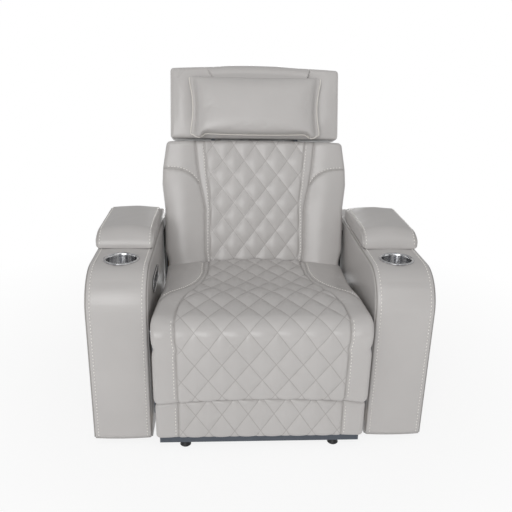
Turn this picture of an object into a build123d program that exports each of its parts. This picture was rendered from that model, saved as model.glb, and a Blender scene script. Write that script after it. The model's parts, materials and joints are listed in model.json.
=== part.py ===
"""Power recliner with a driven footrest, back and headrest, and storage arms with cup holders."""
import os
from math import acos, cos, radians, sin, sqrt, tan

from build123d import *

# While building, the arm fronts lie at y = 0, the floor at z = 0 and the chair faces -Y.
# All sizes are in millimetres and all angles in degrees.

# Arms
ARM_GAP = 660.0             # clear width between the arms
ARM_WIDTH = 180.0
ARM_LENGTH = 740.0
ARM_TOP = 554.0             # height of the deck above the floor
ARM_FRONT_ROLL = 118.0      # radius of the front rolling over into the deck
ARM_REAR_ROLL = 40.0
ARM_EDGE = 12.0             # rounding of the padded side edges
ARM_FOOT_HEIGHT = 20.0
ARM_FOOT_RADIUS = 19.0
ARM_FOOT_INSET = 46.0

# Cup holders
CUP_Y = 145.0               # middle of the cup behind the arm front
CUP_RADIUS = 45.0           # inside radius
CUP_DEPTH = 72.0
CUP_WALL = 1.5
CUP_FLANGE = 54.0           # outer radius of the rolled rim
CUP_FLANGE_HEIGHT = 3.0
CUP_CLEARANCE = 0.5

# Storage wells and their lids
BIN_FRONT = 264.0
BIN_LENGTH = 256.0
BIN_WIDTH = 128.0
BIN_DEPTH = 190.0
BIN_WALL = 4.0
BIN_LIP = 8.0
BIN_LIP_HEIGHT = 1.5
BIN_CLEARANCE = 0.5
LID_FRONT = 238.0
LID_LENGTH = 306.0
LID_SIDE_INSET = 5.0
LID_GAP = 3.0               # between the deck and the lid board
LID_BOARD = 12.0
LID_PAD = 44.0
LID_ROLL = 30.0
LID_CROWN = 5.0
LID_SWELL = 3.0             # how much fuller the middle is than the sides
LID_SIDE_DROP = 9.0         # rounding of the two long edges

# Lid hinges
HINGE_PIN = 2.5             # pin radius
HINGE_BARREL = 5.0          # knuckle radius
HINGE_SETBACK = 8.0         # pin behind the lid
HINGE_RISE = 8.0            # pin above the deck
HINGE_LEAF = 2.0
HINGE_LEAF_LENGTH = 26.0
KNUCKLE = 24.0
KNUCKLE_COUNT = 5
KNUCKLE_GAP = 0.5
RUN_CLEARANCE = 0.05        # radial clearance of every pin in its hole

# Mechanism side plates and the layers beside the seat
PLATE = 4.0
ARM_CLEARANCE = 9.0         # between the outer hinge plates and the arm
LAYER_GAP = 1.0             # between two plates that pass each other
PAD_CLEARANCE = 2.0         # between a pad and a plate
PIVOT_PIN = 5.0             # pin radius
PIN_HEAD = 9.0
PIN_HEAD_HEIGHT = 3.5
STANDOFF_RADIUS = 13.0
BOLT_HEAD = 5.0
BOLT_HEAD_RADIUS = 7.6
STANDOFF_INSET = 70.0       # bolts from the ends and the foot of a side plate
STANDOFF_DROP = 50.0        # upper bolt below the top of a side plate
PLATE_FRONT = 60.0          # front of a side plate behind the arm front
PLATE_TAIL = 6.0            # side plate behind the back pivot
PLATE_CORNER = 24.0         # cut corners at the foot of a side plate
PLATE_CORNER_RISE = 60.0
PLATE_EYE_ROOT = 32.0       # radius where the pivot eyes grow out of a side plate
BACK_EYE = 22.0             # radius of the eye round the back pivot
FLANGE = 24.0               # width of the plate's bent flanges
LIGHTENING_HOLE = 30.0
LIGHTENING_PITCH = 90.0
LIGHTENING_ROW = 75.0
LIGHTENING_COUNT = 3

# Base
BAR_WIDTH = 25.0
BAR_HEIGHT = 24.0
BAR_WALL = 2.0
GLIDE_HEIGHT = 16.0
GLIDE_RADIUS = 17.0
GLIDE_X = 229.0
FRONT_BAR_Y = -22.0         # front face of the front bar
REAR_BAR_Y = 520.0          # front face of the rear bar
RAIL_SIDE = 24.0            # from the base rail to the arm

# Seat
SEAT_PROUD = 52.0           # seat front ahead of the arm fronts
SEAT_TOP = 436.0
KNEE_RADIUS = 52.0
SEAT_FRAME_BOTTOM = 320.0
SEAT_FRAME_HEIGHT = 24.0
SEAT_FRAME_SIDE = 24.0
SEAT_FRAME_FRONT = 24.0
SEAT_FRAME_REAR = 456.0
CROSS_RAIL = 40.0
WEBBING = 2.0
WEBBING_WIDTH = 50.0
WEBBING_COUNT = 5
SEAT_REAR_EDGE = 404.0      # height of the seat's side edges at the back
SEAT_REAR_CROWN = 32.0
SEAT_FRONT_CROWN = 3.0
SEAT_CORNER = 16.0
SEAT_SIDE_DRAW = 7.0        # how far the sides pull in
SOFT_GAP = 0.5              # between soft pads that meet

# Footrest
FOOTREST_RANGE = 85.0
FOOTREST_BOARD = 18.0
FOOTREST_BOARD_TOP = 325.0
FOOTREST_BOTTOM = 58.0
FOOTREST_SPLIT = 166.0      # height of the seam between the two pads
FOOTREST_SPLIT_RISE = 14.0  # how far that seam is drawn up in the middle
FOOTREST_CROWN = 5.0
FOOTREST_CORNER = 16.0
TOE_PAD_SET = 8.0           # lower pad behind the upper one
HINGE_ARM_RADIUS = 16.0
HINGE_ARM_RISE = 50.0       # foot of a hinge arm above the lower edge of the board
FOOTREST_BOARD_RISE = 12.0  # lower edge of the board above the pads'
LEVER_RADIUS = 120.0        # drive pin to the footrest pivot
LEVER_ROOT_RISE = 120.0     # lever's root on the board, from the lower edge and from the upper
LEVER_ROOT_DROP = 18.0
FOOTREST_DRIVE_X = -90.0

# Back
BACK_LEAN = 16.5
BACK_RANGE = 40.0
BACK_PIVOT_Y = 524.0
BACK_PIVOT_Z = 345.0
BACK_FRONT = 74.0           # pad faces ahead of the pivot
BACK_HEIGHT = 488.0         # top of the back pads above the pivot
BACK_FRAME_FRONT = 20.0     # frame behind the pivot
BACK_FRAME_DEPTH = 30.0
BACK_FRAME_DROP = 33.0      # top of the frame below the top of the pads
BACK_FRAME_BOTTOM = 34.0
BACK_STILE = 30.0
BACK_RAIL = 40.0
BACK_SEAM_TOP = 196.0       # half width of the quilted middle at the top
BACK_SEAM_LOW = 164.0       # half width of the quilted middle lower down
BACK_SEAM_GAP = 1.0
BACK_TOP_HALF = 308.0
BACK_WIDE_HALF = 324.0
BACK_LOW_HALF = 309.0
BACK_STRAIGHT = 0.25        # share of the height that is straight beside the brackets
BACK_WIDE_AT = 0.67         # share of the height where the back is widest
BACK_CENTRE_CROWN = 9.0
BOLSTER_CROWN = 15.0
BACK_CORNER = 14.0
BACK_COVER = 20.0           # thickness of the outside back
BACK_COVER_RETURN = 5.0     # thickness of its side returns
BACK_COVER_DROP = 12.0      # its top below the top of the pads
BACK_COVER_HANG = 10.0      # its foot below the frame
RETURN_DROP = 30.0          # top of the returns below the top of the pads
RETURN_CLEARANCE = 16.0     # returns above the brackets
BACK_PAD_FOOT = 10.0        # foot of the pads above the pivot
BRACKET_LENGTH = 150.0
BACK_LEVER_RADIUS = 80.0
BACK_DRIVE_X = 90.0

# Headrest
HEAD_RANGE = 30.0
HEAD_GAP = 17.0             # between back and headrest
HEAD_HEIGHT = 244.0
HEAD_HALF = 293.0
HEAD_FRONT = 62.0           # cushion face ahead of the back pivot line
HEAD_CROWN = 8.0
HEAD_CORNER = 26.0
HEAD_BOARD = 18.0
HEAD_COVER = 24.0
HEAD_BOARD_INSET = 8.0
HEAD_PIVOT_FRONT = 42.0     # headrest pivot ahead of the back pivot line
HEAD_PIVOT_RISE = 9.0       # headrest pivot above the back pads
HEAD_EAR = 7.0
HEAD_PIN = 3.0
HEAD_ARM_X = 150.0
HEAD_LEVER_RADIUS = 78.0
PILLOW_HALF = 226.0
PILLOW_LOW = 12.0           # pillow bottom above the headrest's
PILLOW_HEIGHT = 206.0
PILLOW_DEPTH = 40.0
PILLOW_CROWN = 26.0
PILLOW_DRAW = 7.0           # how far its long edges pull in
PILLOW_ROUND = 0.8          # rounding of its long edges, as a share of its depth

# Cushion forms: share of the half length that is rounded, and where sections are taken
END_SHARE = 0.12
CUSHION_STATIONS = (-1.0, -0.97, -0.88, -0.5, 0.0, 0.5, 0.88, 0.97, 1.0)
END_SINK = 15.0

# Linear drives: rod, tube, gear housing and motor
DRIVE_ROD = 12.0
DRIVE_TUBE = 19.0
DRIVE_OVERLAP = 70.0        # rod left in the tube at full reach
DRIVE_HOUSING = 70.0
DRIVE_MOTOR = 25.0
DRIVE_MOTOR_LENGTH = 105.0
DRIVE_PIN = 6.0
HEAD_DRIVE_ROD = 6.0
HEAD_DRIVE_TUBE = 11.0
HEAD_DRIVE_HOUSING = 28.0
HEAD_DRIVE_MOTOR = 13.0
HEAD_DRIVE_MOTOR_LENGTH = 80.0
HEAD_DRIVE_PIN = 4.0
LEVER_PLATE = 5.0
LEVER_BOSS = 5.0            # wall round a lever's pin
LEVER_GAP = 10.0            # from the drive's middle to its lever plates
LUG = 24.0                  # length of a drive's lugs
LUG_SETBACK = 30.0          # front lug ahead of the gear housing
ROD_REVEAL = 4.0            # rod between yoke and tube when drawn in
TUBE_SPARE = 6.0            # tube behind the rod when drawn in
YOKE_GAP = 2.0
YOKE_MARGIN = 12.0
SLOT_PLAY = 0.5
ROD_CLEARANCE = 0.4

# Controls on the inner side of one arm
PANEL_Y = 212.0
PANEL_Z = 465.0
PANEL_LENGTH = 150.0
PANEL_HEIGHT = 48.0
PANEL_PROUD = 4.0
PANEL_HOUSING_LENGTH = 138.0
PANEL_HOUSING_HEIGHT = 36.0
PANEL_DEPTH = 16.0
PANEL_CLEARANCE = 0.5
ROCKER_LENGTH = 26.0
ROCKER_HEIGHT = 19.0
ROCKER_PITCH = 33.0
ROCKER_CLEARANCE = 1.2
ROCKER_PROUD = 2.5
ROCKER_DEPTH = 7.0
ROCKER_TRUNNION = 1.5
ROCKER_COUNT = 3
USB_WIDTH = 14.0
USB_HEIGHT = 7.0
USB_SLOT = 1.8
INLET_SIZE = 22.0
INLET_BORE = 2.9

# Places worked out from the sizes
inner = ARM_GAP / 2
outer = inner + ARM_WIDTH
arm_x = (inner + outer) / 2
link_out = inner - ARM_CLEARANCE
link_in = link_out - PLATE
plate_out = link_in - LAYER_GAP
plate_in = plate_out - PLATE
pad_half = plate_in - PAD_CLEARANCE
rail_out = inner - RAIL_SIDE
bar_bottom = GLIDE_HEIGHT
bar_top = GLIDE_HEIGHT + BAR_HEIGHT
knee_y = KNEE_RADIUS - SEAT_PROUD
knee_z = SEAT_TOP - KNEE_RADIUS
seat_frame_top = SEAT_FRAME_BOTTOM + SEAT_FRAME_HEIGHT
lid_rear = LID_FRONT + LID_LENGTH
hinge_y = lid_rear + HINGE_SETBACK
hinge_z = ARM_TOP + HINGE_RISE
lever_half = FOOTREST_RANGE / 2
back_lever_half = BACK_RANGE / 2
head_lever_half = HEAD_RANGE / 2
back_frame_top = BACK_HEIGHT - BACK_FRAME_DROP
head_low = BACK_HEIGHT + HEAD_GAP
head_pivot_z = BACK_HEIGHT + HEAD_PIVOT_RISE
back_place = Pos(0, BACK_PIVOT_Y, BACK_PIVOT_Z) * Rot(-BACK_LEAN, 0, 0)

lever_y = LEVER_RADIUS * sin(radians(lever_half))
back_arm_y = BACK_LEVER_RADIUS * sin(radians(back_lever_half))

parts = {}


def swing_play(radius, half_angle):
    """Most that a lever pin strays along a drive that moves in step with the lever's angle."""
    half = radians(half_angle)
    worst = acos(sin(half) / half)
    return radius * (sin(worst) - worst * sin(half) / half)


def drive_reach(slot_play, travel, pin_radius, drawn_out=0.0):
    """From a drive's pin slot to the front of its gear housing."""
    slot_half = pin_radius + slot_play + SLOT_PLAY
    return slot_half + 1.5 * YOKE_MARGIN + ROD_REVEAL + travel + DRIVE_OVERLAP + TUBE_SPARE + drawn_out


# Shapes that several pieces share
def block(x0, x1, y0, y1, z0, z1):
    """Block between two corners."""
    return Pos((x0 + x1) / 2, (y0 + y1) / 2, (z0 + z1) / 2) * Box(x1 - x0, y1 - y0, z1 - z0)


def bar_x(x0, x1, y, z, radius):
    """Round bar along X."""
    return Pos((x0 + x1) / 2, y, z) * Rot(0, 90, 0) * Cylinder(radius, x1 - x0)


def bar_y(y0, y1, x, z, radius):
    """Round bar along Y."""
    return Pos(x, (y0 + y1) / 2, z) * Rot(90, 0, 0) * Cylinder(radius, y1 - y0)


def bar_z(z0, z1, x, y, radius):
    """Round bar along Z."""
    return Pos(x, y, (z0 + z1) / 2) * Cylinder(radius, z1 - z0)


def side_face(face, x0, x1):
    """Flat outline drawn as (y, z), made a plate from x0 to x1."""
    plane = Plane((x0, 0, 0), x_dir=(0, 1, 0), z_dir=(1, 0, 0))
    return extrude(plane * face, amount=x1 - x0, dir=(1, 0, 0))


def strap(first, first_radius, second, second_radius):
    """Flat strap with a round eye at each end."""
    eyes = (Pos(*first) * Circle(first_radius)).edges() + (Pos(*second) * Circle(second_radius)).edges()
    return make_hull(eyes)


def both_sides(piece):
    """A piece on the +X side with its mirror image."""
    return Compound(children=[piece, mirror(piece, Plane.YZ)])


def pill(length, height):
    """Flat outline with round ends."""
    return SlotOverall(length, height)


def station_x(x):
    """Section plane across the width: first axis up, second axis forwards."""
    return Plane((x, 0, 0), x_dir=(0, 0, 1), z_dir=(1, 0, 0))


def station_z(z):
    """Section plane at a height: first axis to the right, second axis forwards."""
    return Plane((0, 0, z), x_dir=(1, 0, 0), z_dir=(0, 0, -1))


def station_y(y, z=0.0, lean=0.0):
    """Upright section plane facing forwards: first axis to the right, second axis up."""
    return Plane((0, y, z), x_dir=(1, 0, 0), z_dir=(0, -cos(radians(lean)), sin(radians(lean))))


def pad_section(plane, low, high, back, front, crown, corner):
    """Cushion section: flat back, round corners and a crowned face."""
    cut = corner * (1 - sqrt(0.5))
    middle = (low + high) / 2
    edges = [
        Line((low, back), (high, back)),
        Line((high, back), (high, front - corner)),
        ThreePointArc((high, front - corner), (high - cut, front - cut), (high - corner, front)),
        ThreePointArc((high - corner, front), (middle, front + crown), (low + corner, front)),
        ThreePointArc((low + corner, front), (low + cut, front - cut), (low, front - corner)),
        Line((low, front - corner), (low, back)),
    ]
    return plane * make_face(edges)


def end_rounding(share):
    """Rounding of a cushion towards its ends: 0 over the middle, 1 at the very end."""
    reach = max(0.0, (abs(share) - 1 + END_SHARE) / END_SHARE)
    return 1 - sqrt(1 - reach * reach)


def arm_solid():
    """Padded arm on the +X side, with its storage well and cup bore."""
    roll_cut = ARM_FRONT_ROLL * (1 - sqrt(0.5))
    rear_cut = ARM_REAR_ROLL * (1 - sqrt(0.5))
    outline = [
        Line((0, ARM_FOOT_HEIGHT), (0, ARM_TOP - ARM_FRONT_ROLL)),
        ThreePointArc(
            (0, ARM_TOP - ARM_FRONT_ROLL), (roll_cut, ARM_TOP - roll_cut), (ARM_FRONT_ROLL, ARM_TOP)
        ),
        Line((ARM_FRONT_ROLL, ARM_TOP), (ARM_LENGTH - ARM_REAR_ROLL, ARM_TOP)),
        ThreePointArc(
            (ARM_LENGTH - ARM_REAR_ROLL, ARM_TOP),
            (ARM_LENGTH - rear_cut, ARM_TOP - rear_cut),
            (ARM_LENGTH, ARM_TOP - ARM_REAR_ROLL),
        ),
        Line((ARM_LENGTH, ARM_TOP - ARM_REAR_ROLL), (ARM_LENGTH, ARM_FOOT_HEIGHT)),
        Line((ARM_LENGTH, ARM_FOOT_HEIGHT), (0, ARM_FOOT_HEIGHT)),
    ]
    arm = side_face(make_face(outline), inner, outer)
    padded_edges = arm.edges().filter_by(Axis.X, reverse=True)
    padded_edges = padded_edges.filter_by(lambda edge: edge.center().Z > ARM_FOOT_HEIGHT + 1)
    arm = fillet(padded_edges, ARM_EDGE)
    well = BIN_WIDTH / 2 + BIN_CLEARANCE
    arm -= block(
        arm_x - well, arm_x + well, BIN_FRONT - BIN_CLEARANCE, BIN_FRONT + BIN_LENGTH + BIN_CLEARANCE,
        ARM_TOP - BIN_DEPTH - BIN_CLEARANCE, ARM_TOP + 1,
    )
    cup_hole = CUP_RADIUS + CUP_WALL + CUP_CLEARANCE
    arm -= bar_z(ARM_TOP - CUP_DEPTH - CUP_WALL - CUP_CLEARANCE, ARM_TOP + 1, arm_x, CUP_Y, cup_hole)
    return arm


# Base: two cross bars and two side rails of square tube, on four glides
def tube_block(x0, x1, y0, y1, z0, z1, along):
    """Square tube, open at its two ends along X or Y."""
    wall_x = 0 if along == "x" else BAR_WALL
    wall_y = 0 if along == "y" else BAR_WALL
    hollow = block(x0 + wall_x, x1 - wall_x, y0 + wall_y, y1 - wall_y, z0 + BAR_WALL, z1 - BAR_WALL)
    return block(x0, x1, y0, y1, z0, z1) - hollow


front_bar_rear = FRONT_BAR_Y + BAR_WIDTH
rear_bar_rear = REAR_BAR_Y + BAR_WIDTH
parts["base_cross_bars"] = Compound(children=[
    tube_block(-rail_out, rail_out, FRONT_BAR_Y, front_bar_rear, bar_bottom, bar_top, "x"),
    tube_block(-rail_out, rail_out, REAR_BAR_Y, rear_bar_rear, bar_bottom, bar_top, "x"),
])
parts["base_side_rails"] = both_sides(
    tube_block(rail_out - BAR_WIDTH, rail_out, front_bar_rear, REAR_BAR_Y, bar_bottom, bar_top, "y")
)
glide_profile = Polyline(
    (0, 0), (GLIDE_RADIUS - 3, 0), (GLIDE_RADIUS, 3), (GLIDE_RADIUS - 4, GLIDE_HEIGHT - 4),
    (GLIDE_RADIUS - 6, GLIDE_HEIGHT), (0, GLIDE_HEIGHT), close=True,
)
glide = revolve(Plane.XZ * make_face(glide_profile), Axis.Z)
glide_rows = (FRONT_BAR_Y + BAR_WIDTH / 2, REAR_BAR_Y + BAR_WIDTH / 2)
parts["base_glides"] = Compound(
    children=[Pos(x, y, 0) * glide for y in glide_rows for x in (-GLIDE_X, GLIDE_X)]
)
inlet_y = rear_bar_rear
inlet_half = INLET_SIZE / 2
inlet = block(-inlet_half, inlet_half, inlet_y, inlet_y + INLET_SIZE, bar_bottom, bar_bottom + INLET_SIZE)
inlet_z = bar_bottom + inlet_half
inlet = fillet(inlet.edges().filter_by(Axis.Y), 3)
inlet -= bar_y(inlet_y + 6, inlet_y + INLET_SIZE + 1, 0, inlet_z, INLET_BORE + 2)
inlet += bar_y(inlet_y + 5, inlet_y + INLET_SIZE - 2, 0, inlet_z, INLET_BORE - 1.7)
parts["power_inlet"] = inlet

# Side plates: flanged steel plates that carry the seat frame, the footrest pivot and the back pivot
plate_rear = BACK_PIVOT_Y + PLATE_TAIL
plate_top = SEAT_FRAME_BOTTOM
foot_front = PLATE_FRONT + PLATE_CORNER
foot_rear = plate_rear - PLATE_CORNER
plate_middle = (PLATE_FRONT + plate_rear) / 2
standoff_places = [
    (PLATE_FRONT + STANDOFF_INSET, bar_top + STANDOFF_INSET),
    (plate_rear - STANDOFF_INSET, bar_top + STANDOFF_INSET),
    (plate_middle, plate_top - STANDOFF_DROP),
]
web = make_face(Polyline(
    (foot_front, bar_top), (foot_rear, bar_top), (plate_rear, bar_top + PLATE_CORNER_RISE),
    (plate_rear, plate_top), (PLATE_FRONT, plate_top), (PLATE_FRONT, bar_top + PLATE_CORNER_RISE), close=True,
))
eye_root_z = plate_top - PLATE_EYE_ROOT
web += strap((knee_y, knee_z), HINGE_ARM_RADIUS + 2, (PLATE_FRONT + PLATE_EYE_ROOT, eye_root_z), PLATE_EYE_ROOT)
web += strap(
    (BACK_PIVOT_Y, BACK_PIVOT_Z), BACK_EYE, (plate_rear - PLATE_EYE_ROOT, eye_root_z), PLATE_EYE_ROOT
)
for row in (1, 2):
    for index in range(LIGHTENING_COUNT):
        hole_y = plate_middle + LIGHTENING_PITCH * (index - (LIGHTENING_COUNT - 1) / 2)
        web -= Pos(hole_y, bar_top + LIGHTENING_ROW * row) * Circle(LIGHTENING_HOLE)
side_plate = side_face(web, plate_in, plate_out)
side_plate += block(plate_in - FLANGE, plate_in, foot_front, foot_rear, bar_top, bar_top + PLATE)
side_plate += block(
    plate_in - FLANGE, plate_in, foot_front, SEAT_FRAME_REAR, plate_top - PLATE, plate_top
)
pin_hole = PIVOT_PIN + RUN_CLEARANCE
for y, z in ((knee_y, knee_z), (BACK_PIVOT_Y, BACK_PIVOT_Z)):
    side_plate -= bar_x(plate_in - 1, plate_out + 1, y, z, pin_hole)
parts["side_plate_right"] = side_plate
parts["side_plate_left"] = mirror(side_plate, Plane.YZ)


def pivot_pin(y, z):
    """Headed pin that holds an outer hinge plate on a side plate."""
    pin = bar_x(plate_in - 2, link_out + LAYER_GAP, y, z, PIVOT_PIN)
    return pin + bar_x(link_out + 0.4, link_out + 0.4 + PIN_HEAD_HEIGHT, y, z, PIN_HEAD)


pin_right = Compound(children=[pivot_pin(knee_y, knee_z), pivot_pin(BACK_PIVOT_Y, BACK_PIVOT_Z)])
parts["pivot_pins"] = both_sides(pin_right)

standoffs = []
for y, z in standoff_places:
    spacer = bar_x(plate_out, inner, y, z, STANDOFF_RADIUS)
    head_face = Rot(0, 90, 0) * RegularPolygon(BOLT_HEAD_RADIUS, 6)
    bolt_head = Pos(plate_in - BOLT_HEAD, y, z) * extrude(head_face, BOLT_HEAD, dir=(1, 0, 0))
    standoffs += [spacer, bolt_head]
parts["arm_standoffs"] = both_sides(Compound(children=standoffs))

# Arms with feet, cup holders, storage bins, lids and hinges
arm_right = arm_solid()
arm_left = mirror(arm_right, Plane.YZ)
pocket_face = pill(PANEL_HOUSING_LENGTH + 2 * PANEL_CLEARANCE, PANEL_HOUSING_HEIGHT + 2 * PANEL_CLEARANCE)
arm_left -= side_face(
    Pos(PANEL_Y, PANEL_Z) * pocket_face, -inner - PANEL_DEPTH - PANEL_CLEARANCE, -inner + 1
)
parts["arm_right"] = arm_right
parts["arm_left"] = arm_left
foot_places = [
    (x, y)
    for x in (inner + ARM_FOOT_INSET, outer - ARM_FOOT_INSET)
    for y in (ARM_FOOT_INSET, ARM_LENGTH - ARM_FOOT_INSET)
]
on_floor = (Align.CENTER, Align.CENTER, Align.MIN)
foot = Cone(ARM_FOOT_RADIUS - 3, ARM_FOOT_RADIUS, ARM_FOOT_HEIGHT, align=on_floor)
parts["arm_feet"] = both_sides(Compound(children=[Pos(x, y, 0) * foot for x, y in foot_places]))

cup_out = CUP_RADIUS + CUP_WALL
rim_top = CUP_FLANGE_HEIGHT
cup_profile = [
    Line((0, -CUP_DEPTH - CUP_WALL), (cup_out, -CUP_DEPTH - CUP_WALL)),
    Line((cup_out, -CUP_DEPTH - CUP_WALL), (cup_out, 0)),
    Line((cup_out, 0), (CUP_FLANGE, 0)),
    Line((CUP_FLANGE, 0), (CUP_FLANGE - rim_top, rim_top)),
    Line((CUP_FLANGE - rim_top, rim_top), (CUP_RADIUS + rim_top, rim_top)),
    Line((CUP_RADIUS + rim_top, rim_top), (CUP_RADIUS, 0)),
    Line((CUP_RADIUS, 0), (CUP_RADIUS, -CUP_DEPTH)),
    Line((CUP_RADIUS, -CUP_DEPTH), (0, -CUP_DEPTH)),
    Line((0, -CUP_DEPTH), (0, -CUP_DEPTH - CUP_WALL)),
]
cup = revolve(Plane.XZ * make_face(cup_profile), Axis.Z)
bin_half = BIN_WIDTH / 2
bin_rear = BIN_FRONT + BIN_LENGTH
storage_bin = block(arm_x - bin_half, arm_x + bin_half, BIN_FRONT, bin_rear, ARM_TOP - BIN_DEPTH, ARM_TOP)
storage_bin += block(
    arm_x - bin_half - BIN_LIP, arm_x + bin_half + BIN_LIP, BIN_FRONT - BIN_LIP, bin_rear + BIN_LIP,
    ARM_TOP, ARM_TOP + BIN_LIP_HEIGHT,
)
storage_bin -= block(
    arm_x - bin_half + BIN_WALL, arm_x + bin_half - BIN_WALL, BIN_FRONT + BIN_WALL, bin_rear - BIN_WALL,
    ARM_TOP - BIN_DEPTH + BIN_WALL, ARM_TOP + BIN_LIP_HEIGHT + 1,
)

lid_in = inner + LID_SIDE_INSET
lid_out = outer - LID_SIDE_INSET
lid_low = ARM_TOP + LID_GAP
lid_board = block(lid_in, lid_out, LID_FRONT, lid_rear, lid_low, lid_low + LID_BOARD)
pad_low = lid_low + LID_BOARD
pad_top = pad_low + LID_PAD - LID_CROWN


def lid_section(share):
    """Lid pad section along the arm at a share of its half width, with both ends rolled down."""
    plane = Plane((arm_x + lid_half * share, 0, 0), x_dir=(0, 1, 0), z_dir=(1, 0, 0))
    drop = LID_SIDE_DROP * end_rounding(share) - LID_SWELL * (1 - share * share)
    return pad_section(plane, LID_FRONT, lid_rear, pad_low, pad_top - drop, LID_CROWN, LID_ROLL - drop)


lid_half = (lid_out - lid_in) / 2
lid_pad = loft([lid_section(share) for share in CUSHION_STATIONS], ruled=True)

knuckle_start = arm_x - KNUCKLE * KNUCKLE_COUNT / 2
hinge_end = knuckle_start + KNUCKLE * KNUCKLE_COUNT
leaf_rear = hinge_y + HINGE_LEAF_LENGTH
hinge_base = block(knuckle_start, hinge_end, hinge_y, leaf_rear, ARM_TOP, ARM_TOP + HINGE_LEAF)
hinge_leaf = block(knuckle_start, hinge_end, lid_rear, lid_rear + HINGE_LEAF, lid_low, pad_low + HINGE_LEAF * 3)
knuckle_hole = bar_x(knuckle_start - 1, hinge_end + 1, hinge_y, hinge_z, HINGE_PIN + RUN_CLEARANCE)
for index in range(KNUCKLE_COUNT):
    start = knuckle_start + KNUCKLE * index + KNUCKLE_GAP / 2
    end = start + KNUCKLE - KNUCKLE_GAP
    barrel = bar_x(start, end, hinge_y, hinge_z, HINGE_BARREL)
    if index % 2:
        web_low = hinge_z - HINGE_LEAF / 2
        barrel += block(start, end, lid_rear, hinge_y, web_low, web_low + HINGE_LEAF)
        hinge_leaf += barrel
    else:
        barrel += block(start, end, hinge_y, hinge_y + HINGE_BARREL, ARM_TOP, hinge_z)
        hinge_base += barrel
hinge_base -= knuckle_hole
hinge_leaf -= knuckle_hole
lid_pin = bar_x(knuckle_start - 2, hinge_end + 2, hinge_y, hinge_z, HINGE_PIN)
parts["lid_hinge_pins"] = both_sides(lid_pin)
arm_pieces = {
    "cup_holder": Pos(arm_x, CUP_Y, ARM_TOP) * cup,
    "storage_bin": storage_bin,
    "lid_board": lid_board,
    "lid_pad": lid_pad,
    "lid_hinge_base": hinge_base,
    "lid_hinge_leaf": hinge_leaf,
}
for name, piece in arm_pieces.items():
    parts[name + "_right"] = piece
    parts[name + "_left"] = mirror(piece, Plane.YZ)

# Control panel let into the inner side of the arm on the viewer's left
panel_face = -inner + PANEL_PROUD
panel = side_face(Pos(PANEL_Y, PANEL_Z) * pill(PANEL_LENGTH, PANEL_HEIGHT), -inner, panel_face)
panel = chamfer(panel.faces().sort_by(Axis.X)[-1].edges(), 1.5)
panel += side_face(
    Pos(PANEL_Y, PANEL_Z) * pill(PANEL_HOUSING_LENGTH, PANEL_HOUSING_HEIGHT), -inner - PANEL_DEPTH, -inner
)
row_start = PANEL_Y - ROCKER_PITCH * ROCKER_COUNT / 2
rocker_places = [row_start + ROCKER_PITCH * index for index in range(ROCKER_COUNT)]
rocker_axis = panel_face - ROCKER_DEPTH / 2
hole_length = ROCKER_LENGTH / 2 + ROCKER_CLEARANCE
hole_height = ROCKER_HEIGHT / 2 + ROCKER_CLEARANCE
trunnion_end = hole_height + 2
for index, y in enumerate(rocker_places):
    panel -= block(
        panel_face - ROCKER_DEPTH - 4, panel_face + 1, y - hole_length, y + hole_length,
        PANEL_Z - hole_height, PANEL_Z + hole_height,
    )
    panel -= bar_z(
        PANEL_Z - trunnion_end - 0.5, PANEL_Z + trunnion_end + 0.5, rocker_axis, y,
        ROCKER_TRUNNION + RUN_CLEARANCE,
    )
    low = (y - ROCKER_LENGTH / 2, panel_face - ROCKER_DEPTH)
    high = (y + ROCKER_LENGTH / 2, panel_face - ROCKER_DEPTH)
    high_tip = (y + ROCKER_LENGTH / 2, panel_face + ROCKER_PROUD)
    low_tip = (y - ROCKER_LENGTH / 2, panel_face + ROCKER_PROUD)
    dish = [
        Line(low, high),
        Line(high, high_tip),
        ThreePointArc(high_tip, (y, panel_face + ROCKER_PROUD / 3), low_tip),
        Line(low_tip, low),
    ]
    plane = Plane((0, 0, PANEL_Z - ROCKER_HEIGHT / 2), x_dir=(0, 1, 0), z_dir=(0, 0, -1))
    rocker = extrude(plane * make_face(dish), amount=ROCKER_HEIGHT, dir=(0, 0, 1))
    rocker += bar_z(PANEL_Z - trunnion_end, PANEL_Z + trunnion_end, rocker_axis, y, ROCKER_TRUNNION)
    parts[f"rocker_switch_{index + 1}"] = rocker
usb_y = rocker_places[-1] + ROCKER_PITCH
usb_half = USB_WIDTH / 2
panel -= block(
    panel_face - ROCKER_DEPTH, panel_face + 1, usb_y - usb_half, usb_y + usb_half,
    PANEL_Z - USB_HEIGHT / 2, PANEL_Z + USB_HEIGHT / 2,
)
usb = block(
    panel_face - ROCKER_DEPTH, panel_face, usb_y - usb_half, usb_y + usb_half,
    PANEL_Z - USB_HEIGHT / 2, PANEL_Z + USB_HEIGHT / 2,
)
usb -= block(
    panel_face - ROCKER_DEPTH + 1.5, panel_face + 1, usb_y - usb_half + 1, usb_y + usb_half - 1,
    PANEL_Z - USB_HEIGHT / 2 + 1, PANEL_Z + USB_HEIGHT / 2 - 1,
)
usb += block(
    panel_face - ROCKER_DEPTH + 1.5, panel_face - 1, usb_y - usb_half + 2.5, usb_y + usb_half - 2.5,
    PANEL_Z - USB_SLOT / 2, PANEL_Z + USB_SLOT / 2,
)
parts["control_panel"] = panel
parts["usb_socket"] = usb

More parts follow.
